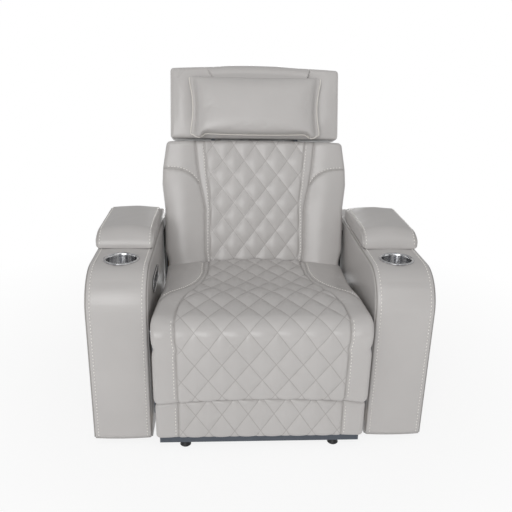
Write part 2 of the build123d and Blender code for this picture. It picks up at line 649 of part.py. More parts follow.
# Seat: plywood frame on the side plates, elastic webbing, cushion and knee roll
frame_out = plate_in
frame_in = frame_out - SEAT_FRAME_SIDE
footrest_play = swing_play(LEVER_RADIUS, lever_half)
lug_y = knee_y + lever_y + drive_reach(footrest_play, 2 * lever_y, DRIVE_PIN) - LUG_SETBACK
rail_fronts = [SEAT_FRAME_FRONT, lug_y - CROSS_RAIL / 2, SEAT_FRAME_REAR - CROSS_RAIL]
seat_rails = [
    block(frame_in, frame_out, SEAT_FRAME_FRONT, SEAT_FRAME_REAR, SEAT_FRAME_BOTTOM, seat_frame_top),
    block(-frame_out, -frame_in, SEAT_FRAME_FRONT, SEAT_FRAME_REAR, SEAT_FRAME_BOTTOM, seat_frame_top),
]
for y in rail_fronts:
    seat_rails.append(block(-frame_in, frame_in, y, y + CROSS_RAIL, SEAT_FRAME_BOTTOM, seat_frame_top))
parts["seat_frame"] = Compound(children=seat_rails)
webbing_pitch = 2 * frame_in / WEBBING_COUNT
webbing_top = seat_frame_top + WEBBING
straps = []
for index in range(WEBBING_COUNT):
    x = -frame_in + webbing_pitch * (index + 0.5)
    left = x - WEBBING_WIDTH / 2
    right = x + WEBBING_WIDTH / 2
    straps.append(block(left, right, SEAT_FRAME_FRONT, SEAT_FRAME_REAR, seat_frame_top, webbing_top))
parts["seat_webbing"] = Compound(children=straps)

lean_slope = tan(radians(BACK_LEAN))
face_foot_y = BACK_PIVOT_Y - BACK_FRONT / cos(radians(BACK_LEAN))


def back_face_y(z):
    """Where the plane of the back's face lies at a height."""
    return face_foot_y + (z - BACK_PIVOT_Z) * lean_slope


seat_rear_room = BOLSTER_CROWN + 4 * SOFT_GAP
seat_rear_y = back_face_y(webbing_top) - seat_rear_room
seat_front_y = knee_y + SOFT_GAP
seat_length = seat_rear_y - seat_front_y
seat_steps = [
    (0.0, 0.0, SEAT_TOP, SEAT_FRONT_CROWN),
    (0.3, 0.6, SEAT_TOP - 2, SEAT_FRONT_CROWN + 9),
    (0.65, 1.0, (SEAT_TOP + SEAT_REAR_EDGE) / 2, SEAT_REAR_CROWN * 0.75),
    (1.0, 0.2, SEAT_REAR_EDGE, SEAT_REAR_CROWN),
]
seat_sections = []
for share, draw, edge, crown in seat_steps:
    half = pad_half - SEAT_SIDE_DRAW * draw
    plane = station_y(seat_front_y + seat_length * share, webbing_top, BACK_LEAN * share)
    seat_sections.append(pad_section(plane, -half, half, 0, edge - webbing_top, crown, SEAT_CORNER))
parts["seat_cushion"] = loft(seat_sections, ruled=True)

roll_outer = KNEE_RADIUS
roll_cut = roll_outer * sqrt(0.5)
roll_face = make_face([
    Line((-SOFT_GAP, SOFT_GAP), (-SOFT_GAP, roll_outer)),
    ThreePointArc((-SOFT_GAP, roll_outer), (-roll_cut, roll_cut), (-roll_outer, SOFT_GAP)),
    Line((-roll_outer, SOFT_GAP), (-SOFT_GAP, SOFT_GAP)),
])
parts["knee_roll"] = side_face(Pos(knee_y, knee_z) * roll_face, -pad_half, pad_half)

# Footrest: plywood board with two pads, hung on the side plates by a hinge arm at each side
board_front = knee_y
board_rear = board_front + FOOTREST_BOARD
board_low = FOOTREST_BOTTOM + FOOTREST_BOARD_RISE
parts["footrest_board"] = block(
    -link_in, link_in, board_front, board_rear, board_low, FOOTREST_BOARD_TOP
)


def footrest_pad(low_end, low_middle, high_end, high_middle, face):
    """Pad across the footrest: crowned face, edges drawn in at the middle of each side."""
    sections = []
    for share in CUSHION_STATIONS:
        draw = 1 - share * share
        low = low_end + (low_middle - low_end) * draw
        high = high_end + (high_middle - high_end) * draw
        front = face - END_SINK * end_rounding(share)
        plane = station_x(pad_half * share)
        sections.append(pad_section(plane, low, high, -board_front, front, FOOTREST_CROWN, FOOTREST_CORNER))
    return loft(sections, ruled=True)


pad_face = SEAT_PROUD - FOOTREST_CROWN
upper_high = knee_z - SOFT_GAP
split_middle = FOOTREST_SPLIT + FOOTREST_SPLIT_RISE
parts["footrest_pad"] = footrest_pad(FOOTREST_SPLIT, split_middle, upper_high, upper_high, pad_face)
parts["footrest_toe_pad"] = footrest_pad(
    FOOTREST_BOTTOM, FOOTREST_BOTTOM, FOOTREST_SPLIT - SOFT_GAP, split_middle - SOFT_GAP, pad_face - TOE_PAD_SET
)
arm_foot = (board_front + FOOTREST_BOARD / 2, board_low + HINGE_ARM_RISE)
hinge_arm = side_face(
    strap((knee_y, knee_z), HINGE_ARM_RADIUS, arm_foot, HINGE_ARM_RADIUS), link_in, link_out
)
hinge_arm -= bar_x(link_in - 1, link_out + 1, knee_y, knee_z, pin_hole)
parts["footrest_hinge_arms"] = both_sides(hinge_arm)


def drive_lever(root, pin, x, pin_radius, pin_boss):
    """Two lever plates from a root edge to a cross pin, drawn as (y, z)."""
    (root_y0, root_z0), (root_y1, root_z1) = root
    edges = (Pos(*pin) * Circle(pin_boss)).edges() + [Line((root_y0, root_z0), (root_y1, root_z1))]
    face = make_hull(edges)
    solids = side_face(face, x + LEVER_GAP, x + LEVER_GAP + LEVER_PLATE)
    solids += side_face(face, x - LEVER_GAP - LEVER_PLATE, x - LEVER_GAP)
    pin_half = LEVER_GAP + 2 * LEVER_PLATE + YOKE_GAP + 3
    return solids + bar_x(x - pin_half, x + pin_half, pin[0], pin[1], pin_radius)


def linear_drive(slot_rise, slot_play, travel, sizes, motor_turn=0.0, drawn_out=0.0):
    """Drive with its pin slot at the origin and its tube along +Y: rod with yoke, body and motor."""
    rod_radius, tube_radius, housing, motor_radius, motor_length, pin_radius, lug_top = sizes
    yoke_in = LEVER_GAP + LEVER_PLATE + YOKE_GAP
    yoke_out = yoke_in + LEVER_PLATE
    slot_half = pin_radius + slot_play + SLOT_PLAY
    slot_top = slot_rise / 2 + pin_radius + SLOT_PLAY
    plate_y = slot_half + YOKE_MARGIN / 2
    plate_z = max(slot_top + YOKE_MARGIN / 2, rod_radius)
    yoke = block(-yoke_out, yoke_out, -plate_y, plate_y + YOKE_MARGIN, -plate_z, plate_z)
    yoke -= block(-yoke_in, yoke_in, -plate_y - 1, plate_y, -plate_z - 1, plate_z + 1)
    yoke -= block(-yoke_out - 1, yoke_out + 1, -slot_half, slot_half, -slot_top, slot_top)
    rod_front = plate_y + YOKE_MARGIN
    mouth = rod_front + ROD_REVEAL + drawn_out
    tube_end = drive_reach(slot_play, travel, pin_radius, drawn_out)
    rod = yoke + bar_y(rod_front - 1, tube_end - TUBE_SPARE - drawn_out, 0, 0, rod_radius)
    body = bar_y(mouth, tube_end + 4, 0, 0, tube_radius)
    half = tube_radius + 4
    case = block(-half, half, tube_end, tube_end + housing, -half, half)
    case = fillet(case.edges().filter_by(Axis.Y), tube_radius / 3)
    body += case
    for lug_y in (tube_end - LUG_SETBACK, tube_end + housing / 2):
        body += block(-tube_radius, tube_radius, lug_y - LUG / 2, lug_y + LUG / 2, 0, lug_top)
    body -= bar_y(mouth - 1, tube_end, 0, 0, rod_radius + ROD_CLEARANCE)
    motor_y = tube_end + housing / 2
    motor = bar_z(-half - motor_length, -half, 0, motor_y, motor_radius)
    motor = chamfer(motor.edges().sort_by(Axis.Z)[:1], motor_radius / 5)
    return rod, body, Rot(0, motor_turn, 0) * motor


# Footrest drive: the pin of the footrest lever rides in the upright slot of the rod's yoke
lever_z_end = knee_z - LEVER_RADIUS * cos(radians(lever_half))
lever_z_low = knee_z - LEVER_RADIUS
lever_pin = (knee_y + lever_y, lever_z_end)
lever_root = ((board_rear, board_low + LEVER_ROOT_RISE), (board_rear, FOOTREST_BOARD_TOP - LEVER_ROOT_DROP))
pin_boss = DRIVE_PIN + LEVER_BOSS
parts["footrest_lever"] = drive_lever(lever_root, lever_pin, FOOTREST_DRIVE_X, DRIVE_PIN, pin_boss)
drive_z = (lever_z_end + lever_z_low) / 2
sizes = (
    DRIVE_ROD, DRIVE_TUBE, DRIVE_HOUSING, DRIVE_MOTOR, DRIVE_MOTOR_LENGTH, DRIVE_PIN,
    SEAT_FRAME_BOTTOM - drive_z,
)
pieces = linear_drive(lever_z_end - lever_z_low, footrest_play, 2 * lever_y, sizes)
place = Pos(FOOTREST_DRIVE_X, lever_pin[0], drive_z)
parts["footrest_drive_rod"], parts["footrest_actuator"], footrest_motor = [place * p for p in pieces]

# Back drive, facing the other way and drawn out at rest
back_pin_end = BACK_PIVOT_Z - BACK_LEVER_RADIUS * cos(radians(back_lever_half))
back_pin_low = BACK_PIVOT_Z - BACK_LEVER_RADIUS
back_drive_z = (back_pin_end + back_pin_low) / 2
sizes = (
    DRIVE_ROD, DRIVE_TUBE, DRIVE_HOUSING, DRIVE_MOTOR, DRIVE_MOTOR_LENGTH, DRIVE_PIN,
    SEAT_FRAME_BOTTOM - back_drive_z,
)
back_play = swing_play(BACK_LEVER_RADIUS, back_lever_half)
back_travel = 2 * back_arm_y
pieces = linear_drive(back_pin_end - back_pin_low, back_play, back_travel, sizes, drawn_out=back_travel)
turned = Pos(BACK_DRIVE_X, BACK_PIVOT_Y + back_arm_y, back_drive_z) * Rot(0, 0, 180)
parts["back_drive_rod"], parts["back_actuator"], back_motor = [turned * p for p in pieces]
parts["drive_motors"] = Compound(children=[footrest_motor, back_motor])

# Back, drawn upright about its pivot and then leaned
frame_rear = BACK_FRAME_FRONT + BACK_FRAME_DEPTH
stile_out = link_in
back_frame = []
for side in (1, -1):
    edges = sorted((side * (stile_out - BACK_STILE), side * stile_out))
    back_frame.append(block(*edges, BACK_FRAME_FRONT, frame_rear, BACK_FRAME_BOTTOM, back_frame_top))
rail_half = stile_out - BACK_STILE
head_lever_turn = radians(head_lever_half)
head_pin_y = -HEAD_PIVOT_FRONT + HEAD_LEVER_RADIUS * cos(head_lever_turn)
head_pin_low = head_pivot_z - HEAD_LEVER_RADIUS * sin(head_lever_turn)
head_travel = 2 * HEAD_LEVER_RADIUS * sin(head_lever_turn)
head_bulge = HEAD_LEVER_RADIUS * (1 - cos(head_lever_turn))
head_play = swing_play(HEAD_LEVER_RADIUS, head_lever_half)
head_drive_foot = head_pin_low - drive_reach(head_play, head_travel, HEAD_DRIVE_PIN) - HEAD_DRIVE_HOUSING
for low in (BACK_FRAME_BOTTOM, head_drive_foot - BACK_RAIL):
    back_frame.append(block(-rail_half, rail_half, BACK_FRAME_FRONT, frame_rear, low, low + BACK_RAIL))
top_rail_low = back_frame_top - BACK_RAIL
rod_room = 2 * LEVER_GAP + 2 * LEVER_PLATE
for side in (1, -1):
    edges = sorted((side * rod_room, side * rail_half))
    back_frame.append(block(*edges, BACK_FRAME_FRONT, frame_rear, top_rail_low, back_frame_top))
back_pieces = {"back_frame": Compound(children=back_frame)}

pad_rear = BACK_FRAME_FRONT - SOFT_GAP
pad_middle = (BACK_HEIGHT + BACK_PAD_FOOT) / 2
pad_reach = (BACK_HEIGHT - BACK_PAD_FOOT) / 2


def back_edge(up):
    """Half width of the back at a share of its height."""
    if up < BACK_WIDE_AT:
        rise = max(0.0, up - BACK_STRAIGHT) / (BACK_WIDE_AT - BACK_STRAIGHT)
        return BACK_LOW_HALF + (BACK_WIDE_HALF - BACK_LOW_HALF) * rise
    fall = (up - BACK_WIDE_AT) / (1 - BACK_WIDE_AT)
    return BACK_WIDE_HALF + (BACK_TOP_HALF - BACK_WIDE_HALF) * fall * fall


quilt_sections = []
bolster_sections = []
for share in CUSHION_STATIONS:
    plane = station_z(pad_middle + pad_reach * share)
    up = (1 + share) / 2
    seam = BACK_SEAM_LOW + (BACK_SEAM_TOP - BACK_SEAM_LOW) * max(0.0, 2 * up - 1) ** 2
    bulge = 1 - share * share
    face = BACK_FRONT - 1.5 * END_SINK * end_rounding(share)
    crown = 1 + BACK_CENTRE_CROWN * bulge
    quilt_sections.append(pad_section(plane, -seam, seam, -pad_rear, face - crown, crown, BACK_CORNER))
    swell = 4 + BOLSTER_CROWN * bulge
    bolster_sections.append(
        pad_section(plane, seam + BACK_SEAM_GAP, back_edge(up), -pad_rear, face - 4, swell, BACK_CORNER + 6)
    )
back_pieces["back_quilt_pad"] = loft(quilt_sections, ruled=True)
bolster = loft(bolster_sections, ruled=True)
back_pieces["back_bolster_right"] = bolster
back_pieces["back_bolster_left"] = mirror(bolster, Plane.YZ)

cover_rear = frame_rear + BACK_COVER
cover_half = stile_out + LAYER_GAP + BACK_COVER_RETURN
return_low = BRACKET_LENGTH + RETURN_CLEARANCE
cover_low = BACK_FRAME_BOTTOM - BACK_COVER_HANG
cover_top = BACK_HEIGHT - BACK_COVER_DROP
cover = block(-cover_half, cover_half, frame_rear, cover_rear, cover_low, cover_top)
cover = fillet(cover.faces().sort_by(Axis.Y)[-1].edges(), BACK_COVER * 0.7)
for side in (1, -1):
    edges = sorted((side * (cover_half - BACK_COVER_RETURN), side * cover_half))
    cover += block(*edges, BACK_FRAME_FRONT, frame_rear, return_low, BACK_HEIGHT - RETURN_DROP)
back_pieces["back_outside_cover"] = cover
bracket_top = (BACK_FRAME_FRONT + BACK_FRAME_DEPTH / 2, BRACKET_LENGTH)
bracket = side_face(strap((0, 0), BACK_EYE, bracket_top, BACK_FRAME_DEPTH / 2), link_in, link_out)
bracket -= bar_x(link_in - 1, link_out + 1, 0, 0, pin_hole)
back_pieces["back_brackets"] = both_sides(bracket)
lever_turn = radians(back_lever_half + BACK_LEAN)
back_lever_pin = (BACK_LEVER_RADIUS * sin(lever_turn), -BACK_LEVER_RADIUS * cos(lever_turn))
back_root = ((BACK_FRAME_FRONT + 2, BACK_FRAME_BOTTOM), (frame_rear - 2, BACK_FRAME_BOTTOM))
back_pieces["back_lever"] = drive_lever(back_root, back_lever_pin, BACK_DRIVE_X, DRIVE_PIN, pin_boss)

# Headrest hinge ears stand on the top rail and reach forwards between back and headrest
ear_root = (BACK_FRAME_FRONT + BACK_FRAME_DEPTH / 2, back_frame_top + HEAD_EAR)
head_pivot = (-HEAD_PIVOT_FRONT, head_pivot_z)
ear_bend = (BACK_FRAME_FRONT + HEAD_EAR + LAYER_GAP, head_pivot_z)
ear_face = strap(head_pivot, HEAD_EAR, ear_bend, HEAD_EAR) + strap(ear_bend, HEAD_EAR, ear_root, HEAD_EAR)
ear = side_face(ear_face, HEAD_ARM_X, HEAD_ARM_X + PLATE)
ear += block(
    HEAD_ARM_X, HEAD_ARM_X + FLANGE, BACK_FRAME_FRONT + 2, frame_rear - 2,
    back_frame_top, back_frame_top + PLATE,
)
head_pin_start = HEAD_ARM_X - LAYER_GAP - PLATE - 2
ear += bar_x(head_pin_start, HEAD_ARM_X + PLATE + 2, *head_pivot, HEAD_PIN)
back_pieces["headrest_ears"] = both_sides(ear)

sizes = (
    HEAD_DRIVE_ROD, HEAD_DRIVE_TUBE, HEAD_DRIVE_HOUSING, HEAD_DRIVE_MOTOR, HEAD_DRIVE_MOTOR_LENGTH,
    HEAD_DRIVE_PIN, HEAD_DRIVE_TUBE,
)
pieces = linear_drive(head_bulge, head_play, head_travel, sizes, motor_turn=90.0)
upright = Pos(0, head_pin_y + head_bulge / 2, head_pin_low) * Rot(-90, 0, 0)
head_rod, head_actuator, head_motor = [upright * p for p in pieces]
back_pieces["headrest_actuator"] = head_actuator
back_pieces["headrest_motor"] = head_motor
for name, piece in back_pieces.items():
    parts[name] = back_place * piece
parts["headrest_drive_rod"] = back_place * head_rod

# Headrest: board, cushion, rear cover, bolster pillow, hinge arms and drive lever
board_y = BACK_FRAME_FRONT
head_board_low = head_pivot_z + HEAD_EAR + LAYER_GAP
head_top = head_low + HEAD_HEIGHT
head_board = block(
    -HEAD_HALF + HEAD_BOARD_INSET, HEAD_HALF - HEAD_BOARD_INSET, board_y, board_y + HEAD_BOARD,
    head_board_low, head_top - HEAD_BOARD_INSET,
)


def head_section(x, inset, back, front, crown, corner):
    """Headrest section: upright outline with rounded front edges."""
    return pad_section(station_x(x), head_low + inset, head_top - inset, back, front, crown, corner)


head_sections = []
for share in CUSHION_STATIONS:
    ease = end_rounding(share)
    front = HEAD_FRONT - HEAD_CROWN - END_SINK * ease
    head_sections.append(head_section(HEAD_HALF * share, 10 * ease, -board_y, front, HEAD_CROWN, HEAD_CORNER))
head_cushion = loft(head_sections, ruled=True)
head_cover = block(
    -HEAD_HALF, HEAD_HALF, board_y + HEAD_BOARD, board_y + HEAD_BOARD + HEAD_COVER, head_low, head_top
)
head_cover = fillet(head_cover.faces().sort_by(Axis.Y)[-1].edges(), HEAD_COVER * 0.8)
pillow_low = head_low + PILLOW_LOW
pillow_top = pillow_low + PILLOW_HEIGHT
pillow_back = HEAD_FRONT + SOFT_GAP
pillow_sections = []
for share in CUSHION_STATIONS:
    ease = end_rounding(share)
    depth = PILLOW_DEPTH - 2 * END_SINK * ease
    inset = PILLOW_DRAW * (1 - share * share)
    crown = PILLOW_CROWN * (1 - 0.8 * ease)
    plane = station_x(PILLOW_HALF * share)
    low = pillow_low + inset
    high = pillow_top - inset
    pillow_sections.append(
        pad_section(plane, low, high, pillow_back, pillow_back + depth, crown, depth * PILLOW_ROUND)
    )
pillow = loft(pillow_sections, ruled=True)
arm_end = (board_y + HEAD_BOARD / 2, head_pivot_z)
head_arm = side_face(
    strap(head_pivot, HEAD_EAR, arm_end, HEAD_EAR), HEAD_ARM_X - LAYER_GAP - PLATE, HEAD_ARM_X - LAYER_GAP
)
head_arm += block(
    HEAD_ARM_X - LAYER_GAP - FLANGE, HEAD_ARM_X - LAYER_GAP, board_y + PLATE, board_y + HEAD_BOARD - PLATE,
    head_pivot_z, head_board_low,
)
head_arm -= bar_x(HEAD_ARM_X - 2 * PLATE, HEAD_ARM_X, *head_pivot, HEAD_PIN + RUN_CLEARANCE)
head_lever_root = ((board_y + 2, head_board_low), (board_y + HEAD_BOARD / 2, head_board_low))
head_lever = drive_lever(head_lever_root, (head_pin_y, head_pin_low), 0, HEAD_DRIVE_PIN, HEAD_DRIVE_PIN + 4)
head_pieces = {
    "headrest_board": head_board,
    "headrest_cushion": head_cushion,
    "headrest_rear_cover": head_cover,
    "headrest_pillow": pillow,
    "headrest_hinge_arms": both_sides(head_arm),
    "headrest_lever": head_lever,
}
for name, piece in head_pieces.items():
    parts[name] = back_place * piece

# The origin is on the floor under the middle of the chair
boxes = [part.bounding_box() for part in parts.values()]
front_reach = min(box.min.Y for box in boxes)
rear_reach = max(box.max.Y for box in boxes)
to_middle = Pos(0, -(front_reach + rear_reach) / 2, 0)
print("arm front at y =", round(to_middle.position.Y, 4))
print("depth", round(rear_reach - front_reach, 2), "height", round(max(box.max.Z for box in boxes), 2))

os.makedirs("parts", exist_ok=True)
for name, part in parts.items():
    export_step(to_middle * part, f"parts/{name}.step")
print(len(parts), "pieces")
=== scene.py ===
"""Power recliner in light greige leather: the looks of the chair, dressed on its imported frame."""
import json
import math

import bmesh
import bpy
import numpy as np
from mathutils import Matrix, Vector


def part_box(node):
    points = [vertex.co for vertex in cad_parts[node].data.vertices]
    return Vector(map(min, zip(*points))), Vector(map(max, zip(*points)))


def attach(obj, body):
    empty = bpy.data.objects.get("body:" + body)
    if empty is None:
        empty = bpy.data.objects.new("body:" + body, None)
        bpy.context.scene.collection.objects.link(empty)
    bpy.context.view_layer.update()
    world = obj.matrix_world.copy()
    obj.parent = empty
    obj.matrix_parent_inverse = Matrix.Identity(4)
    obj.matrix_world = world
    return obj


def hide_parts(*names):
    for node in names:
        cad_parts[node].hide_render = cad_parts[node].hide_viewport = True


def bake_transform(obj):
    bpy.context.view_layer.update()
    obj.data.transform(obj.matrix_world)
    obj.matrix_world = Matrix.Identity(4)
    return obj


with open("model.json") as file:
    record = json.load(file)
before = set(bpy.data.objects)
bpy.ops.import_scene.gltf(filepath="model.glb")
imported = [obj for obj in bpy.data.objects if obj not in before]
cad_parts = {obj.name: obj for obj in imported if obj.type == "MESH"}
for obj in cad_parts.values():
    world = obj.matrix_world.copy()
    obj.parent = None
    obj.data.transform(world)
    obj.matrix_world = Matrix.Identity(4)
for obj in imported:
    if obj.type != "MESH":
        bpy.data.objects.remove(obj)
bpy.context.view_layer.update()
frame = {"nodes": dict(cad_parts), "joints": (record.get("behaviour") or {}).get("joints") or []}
nodes = frame["nodes"]

# Base and mechanism: welded square tube, pressed side plates, hinge arms and levers. They are
# mild steel under a blue-grey enamel, which is satin, hides the welds and has an orange peel of
# 2.5 mm under clouds of 40 mm.


def linear(code):
    """Linear colour of an sRGB hex code."""
    channels = [int(code[i:i + 2], 16) / 255 for i in (1, 3, 5)]
    return [c / 12.92 if c <= 0.04045 else ((c + 0.055) / 1.055) ** 2.4 for c in channels] + [1.0]


def plug(tree, target, sockets):
    """Sets a node's sockets to values, or links them to other sockets."""
    for name, value in sockets.items():
        if isinstance(value, bpy.types.NodeSocket):
            tree.links.new(value, target.inputs[name])
        else:
            target.inputs[name].default_value = value


def add(tree, kind, sockets, out=0, **settings):
    """Adds a node with its settings and links; gives one of its outputs, or all of them with None."""
    made = tree.nodes.new(kind)
    for name, value in settings.items():
        setattr(made, name, value)
    plug(tree, made, sockets)
    return made.outputs if out is None else made.outputs[out]


def new_material(name, sockets):
    """Material with its shader's plain values; returns it with its tree, shader and object coordinates."""
    made = bpy.data.materials.new(name)
    made.use_nodes = True
    tree = made.node_tree
    shader = tree.nodes["Principled BSDF"]
    plug(tree, shader, sockets)
    return made, tree, shader, add(tree, "ShaderNodeTexCoord", {}, "Object")


def mottled(name, sockets, size, detail, tones=None, gloss=None, relief=None, stretch=None, grain=None):
    """Material in which one noise, its grains of a size in metres, sways tone, roughness and relief.

    With a grain, a size as well, the relief has a noise of its own."""
    made, tree, shader, at = new_material(name, sockets)
    if stretch:
        at = add(tree, "ShaderNodeMapping", {"Vector": at, "Scale": stretch})
    noise = add(tree, "ShaderNodeTexNoise", {"Vector": at, "Scale": 1 / size, "Detail": detail})
    if tones:
        low, high = (linear(tone) for tone in tones)
        tint = add(tree, "ShaderNodeMix", {0: noise, 6: low, 7: high}, 2, data_type="RGBA")
        plug(tree, shader, {"Base Color": tint})
    if gloss:
        rough = add(tree, "ShaderNodeMapRange", {0: noise, 3: gloss[0], 4: gloss[1]})
        plug(tree, shader, {"Roughness": rough})
    if grain:
        noise = add(tree, "ShaderNodeTexNoise", {"Vector": at, "Scale": 1 / grain, "Detail": 1.0})
    if relief:
        bump = add(tree, "ShaderNodeBump", {"Height": noise, "Strength": relief[0], "Distance": relief[1]})
        plug(tree, shader, {"Normal": bump})
    return made


def dress(material, *names):
    """Gives CAD nodes their material."""
    for name in names:
        nodes[name].data.materials.clear()
        nodes[name].data.materials.append(material)


enamel = mottled("blue_grey_enamel", {"Metallic": 0.0, "IOR": 1.5}, 0.04, 4.0, ("#454b55", "#596069"),
                 (0.32, 0.5), (0.25, 0.0002), grain=0.0025)
dress(
    enamel, "base_cross_bars", "base_side_rails", "side_plate_left", "side_plate_right", "back_brackets",
    "back_lever", "footrest_hinge_arms", "footrest_lever", "headrest_ears", "headrest_hinge_arms",
    "headrest_lever",
)

# Pins, spacers, drive rods and lid hinges: steel with a bright zinc plate, faintly clouded and
# scuffed along its length by handling, in marks about 16 mm long and 1 mm wide.
zinc = mottled("bright_zinc_plate", {"Metallic": 1.0}, 1.0, 3.0, ("#9fa2a6", "#c6c8ca"), (0.22, 0.42),
               stretch=(60.0, 900.0, 900.0))
dress(
    zinc, "arm_standoffs", "pivot_pins", "footrest_drive_rod", "back_drive_rod", "headrest_drive_rod",
    "lid_hinge_pins", "lid_hinge_base_left", "lid_hinge_base_right", "lid_hinge_leaf_left",
    "lid_hinge_leaf_right",
)

# Boards and frames: birch plywood with pale long grain on the faces and thin dark glue lines on
# the sawn edges. The lines are drawn 5.5 mm apart, coarser than real plies, so that they show (a
# wave's bands lie pi / 10 m apart at scale 1).
PLY_PITCH = 0.0055268
plywood, tree, shader, at = new_material("birch_plywood", {"Roughness": 0.62, "IOR": 1.5})
grain_at = add(tree, "ShaderNodeMapping", {"Vector": at, "Scale": (3.0, 90.0, 90.0)})
grain = add(tree, "ShaderNodeTexNoise", {"Vector": grain_at, "Scale": 1.0, "Detail": 5.0})
plies = add(tree, "ShaderNodeTexWave", {"Vector": at, "Scale": math.pi / 10 / PLY_PITCH, "Distortion": 0.3},
            1, bands_direction="Y")
mixed = add(tree, "ShaderNodeMath", {0: grain, 1: plies}, operation="MULTIPLY")
tint = add(tree, "ShaderNodeMix", {0: mixed, 6: linear("#a98a5e"), 7: linear("#dcc196")}, 2, data_type="RGBA")
bump = add(tree, "ShaderNodeBump", {"Height": grain, "Strength": 0.2, "Distance": 0.0003})
plug(tree, shader, {"Base Color": tint, "Normal": bump})
dress(plywood, "seat_frame", "footrest_board", "back_frame", "headrest_board")

# Feet, glides, bins, drive housings, motors and inlet: injection-moulded ABS and polypropylene,
# black with a fine spark-eroded texture of about half a millimetre.
moulded = mottled("moulded_black_plastic", {"Base Color": linear("#1b1b1c"), "IOR": 1.5}, 0.0006, 2.0,
                  gloss=(0.42, 0.6), relief=(0.3, 0.0001))
dress(
    moulded, "arm_feet", "base_glides", "power_inlet", "storage_bin_left", "storage_bin_right", "usb_socket",
    "back_actuator", "footrest_actuator", "headrest_actuator", "drive_motors", "headrest_motor",
)

# Seat webbing: woven elastic, black with lighter ribs across it. The ribs are drawn 6 mm apart,
# coarser than woven ones, so that they show.
RIB_PITCH = 0.0059216
webbing, tree, shader, at = new_material("woven_elastic", {"Roughness": 0.85})
ribs = add(tree, "ShaderNodeTexWave", {"Vector": at, "Scale": math.pi / 10 / RIB_PITCH}, 1,
           bands_direction="Y")
tint = add(tree, "ShaderNodeMix", {0: ribs, 6: linear("#161616"), 7: linear("#3a3a3b")}, 2, data_type="RGBA")
bump = add(tree, "ShaderNodeBump", {"Height": ribs, "Strength": 0.6, "Distance": 0.0005})
plug(tree, shader, {"Base Color": tint, "Normal": bump})
dress(webbing, "seat_webbing")

# Switch panel: a gloss black moulded pill in the inner side of one arm, with three satin rockers,
# a socket and a thin chromed trim round its edge. Fine swirl marks break up its shine.


def new_object(name, data):
    """Object in the scene."""
    made = bpy.data.objects.new(name, data)
    bpy.context.scene.collection.objects.link(made)
    return made


def cord(name, body, path, radius, cover):
    """Round cord or wire along a path."""
    line = bpy.data.curves.new(name, "CURVE")
    line.dimensions = "3D"
    line.bevel_depth = radius
    line.bevel_resolution = 2
    line.use_fill_caps = True
    spline = line.splines.new("POLY")
    spline.points.add(len(path) - 1)
    for point, place in zip(spline.points, path):
        point.co = (*place, 1.0)
    line.materials.append(cover)
    piece = new_object(name, line)
    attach(piece, body)


gloss_black = mottled("gloss_black_plastic", {"Base Color": linear("#141416"), "IOR": 1.5}, 0.006, 4.0,
                      gloss=(0.12, 0.26))
dress(gloss_black, "control_panel")
rocker_grey = mottled("satin_grey_rocker", {"Base Color": linear("#55565a"), "IOR": 1.5}, 0.002, 2.0,
                      gloss=(0.25, 0.4))
dress(rocker_grey, "rocker_switch_1", "rocker_switch_2", "rocker_switch_3")
chrome = mottled("satin_chrome", {"Metallic": 1.0}, 0.004, 3.0, ("#c9cacc", "#e4e4e6"), (0.18, 0.32))
PANEL_TRIM = 0.0014
panel_low, panel_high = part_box("control_panel")
panel_middle = (panel_low + panel_high) / 2
panel_tall = (panel_high.z - panel_low.z) / 2
panel_long = (panel_high.y - panel_low.y) / 2 - panel_tall
turn = np.linspace(0, 2 * math.pi, 65)
trim = np.stack([
    np.full(turn.shape, panel_high.x),
    panel_middle.y + np.copysign(panel_long, np.cos(turn)) + panel_tall * np.cos(turn),
    panel_middle.z + panel_tall * np.sin(turn),
], 1)
cord("panel_trim", "base", trim, PANEL_TRIM, chrome)

# Arm covers: light greige cow leather, semi-gloss and pebbled, over foam on a timber box. One
# panel runs from the back over the deck and rolls down the front; it is top-stitched to plain
# side panels along both edges. The pebbles are drawn about twice their size so that they show.
HIDE_CLOUD, HIDE_PEBBLE, HIDE_PORE = 0.16, 0.0024, 0.0011


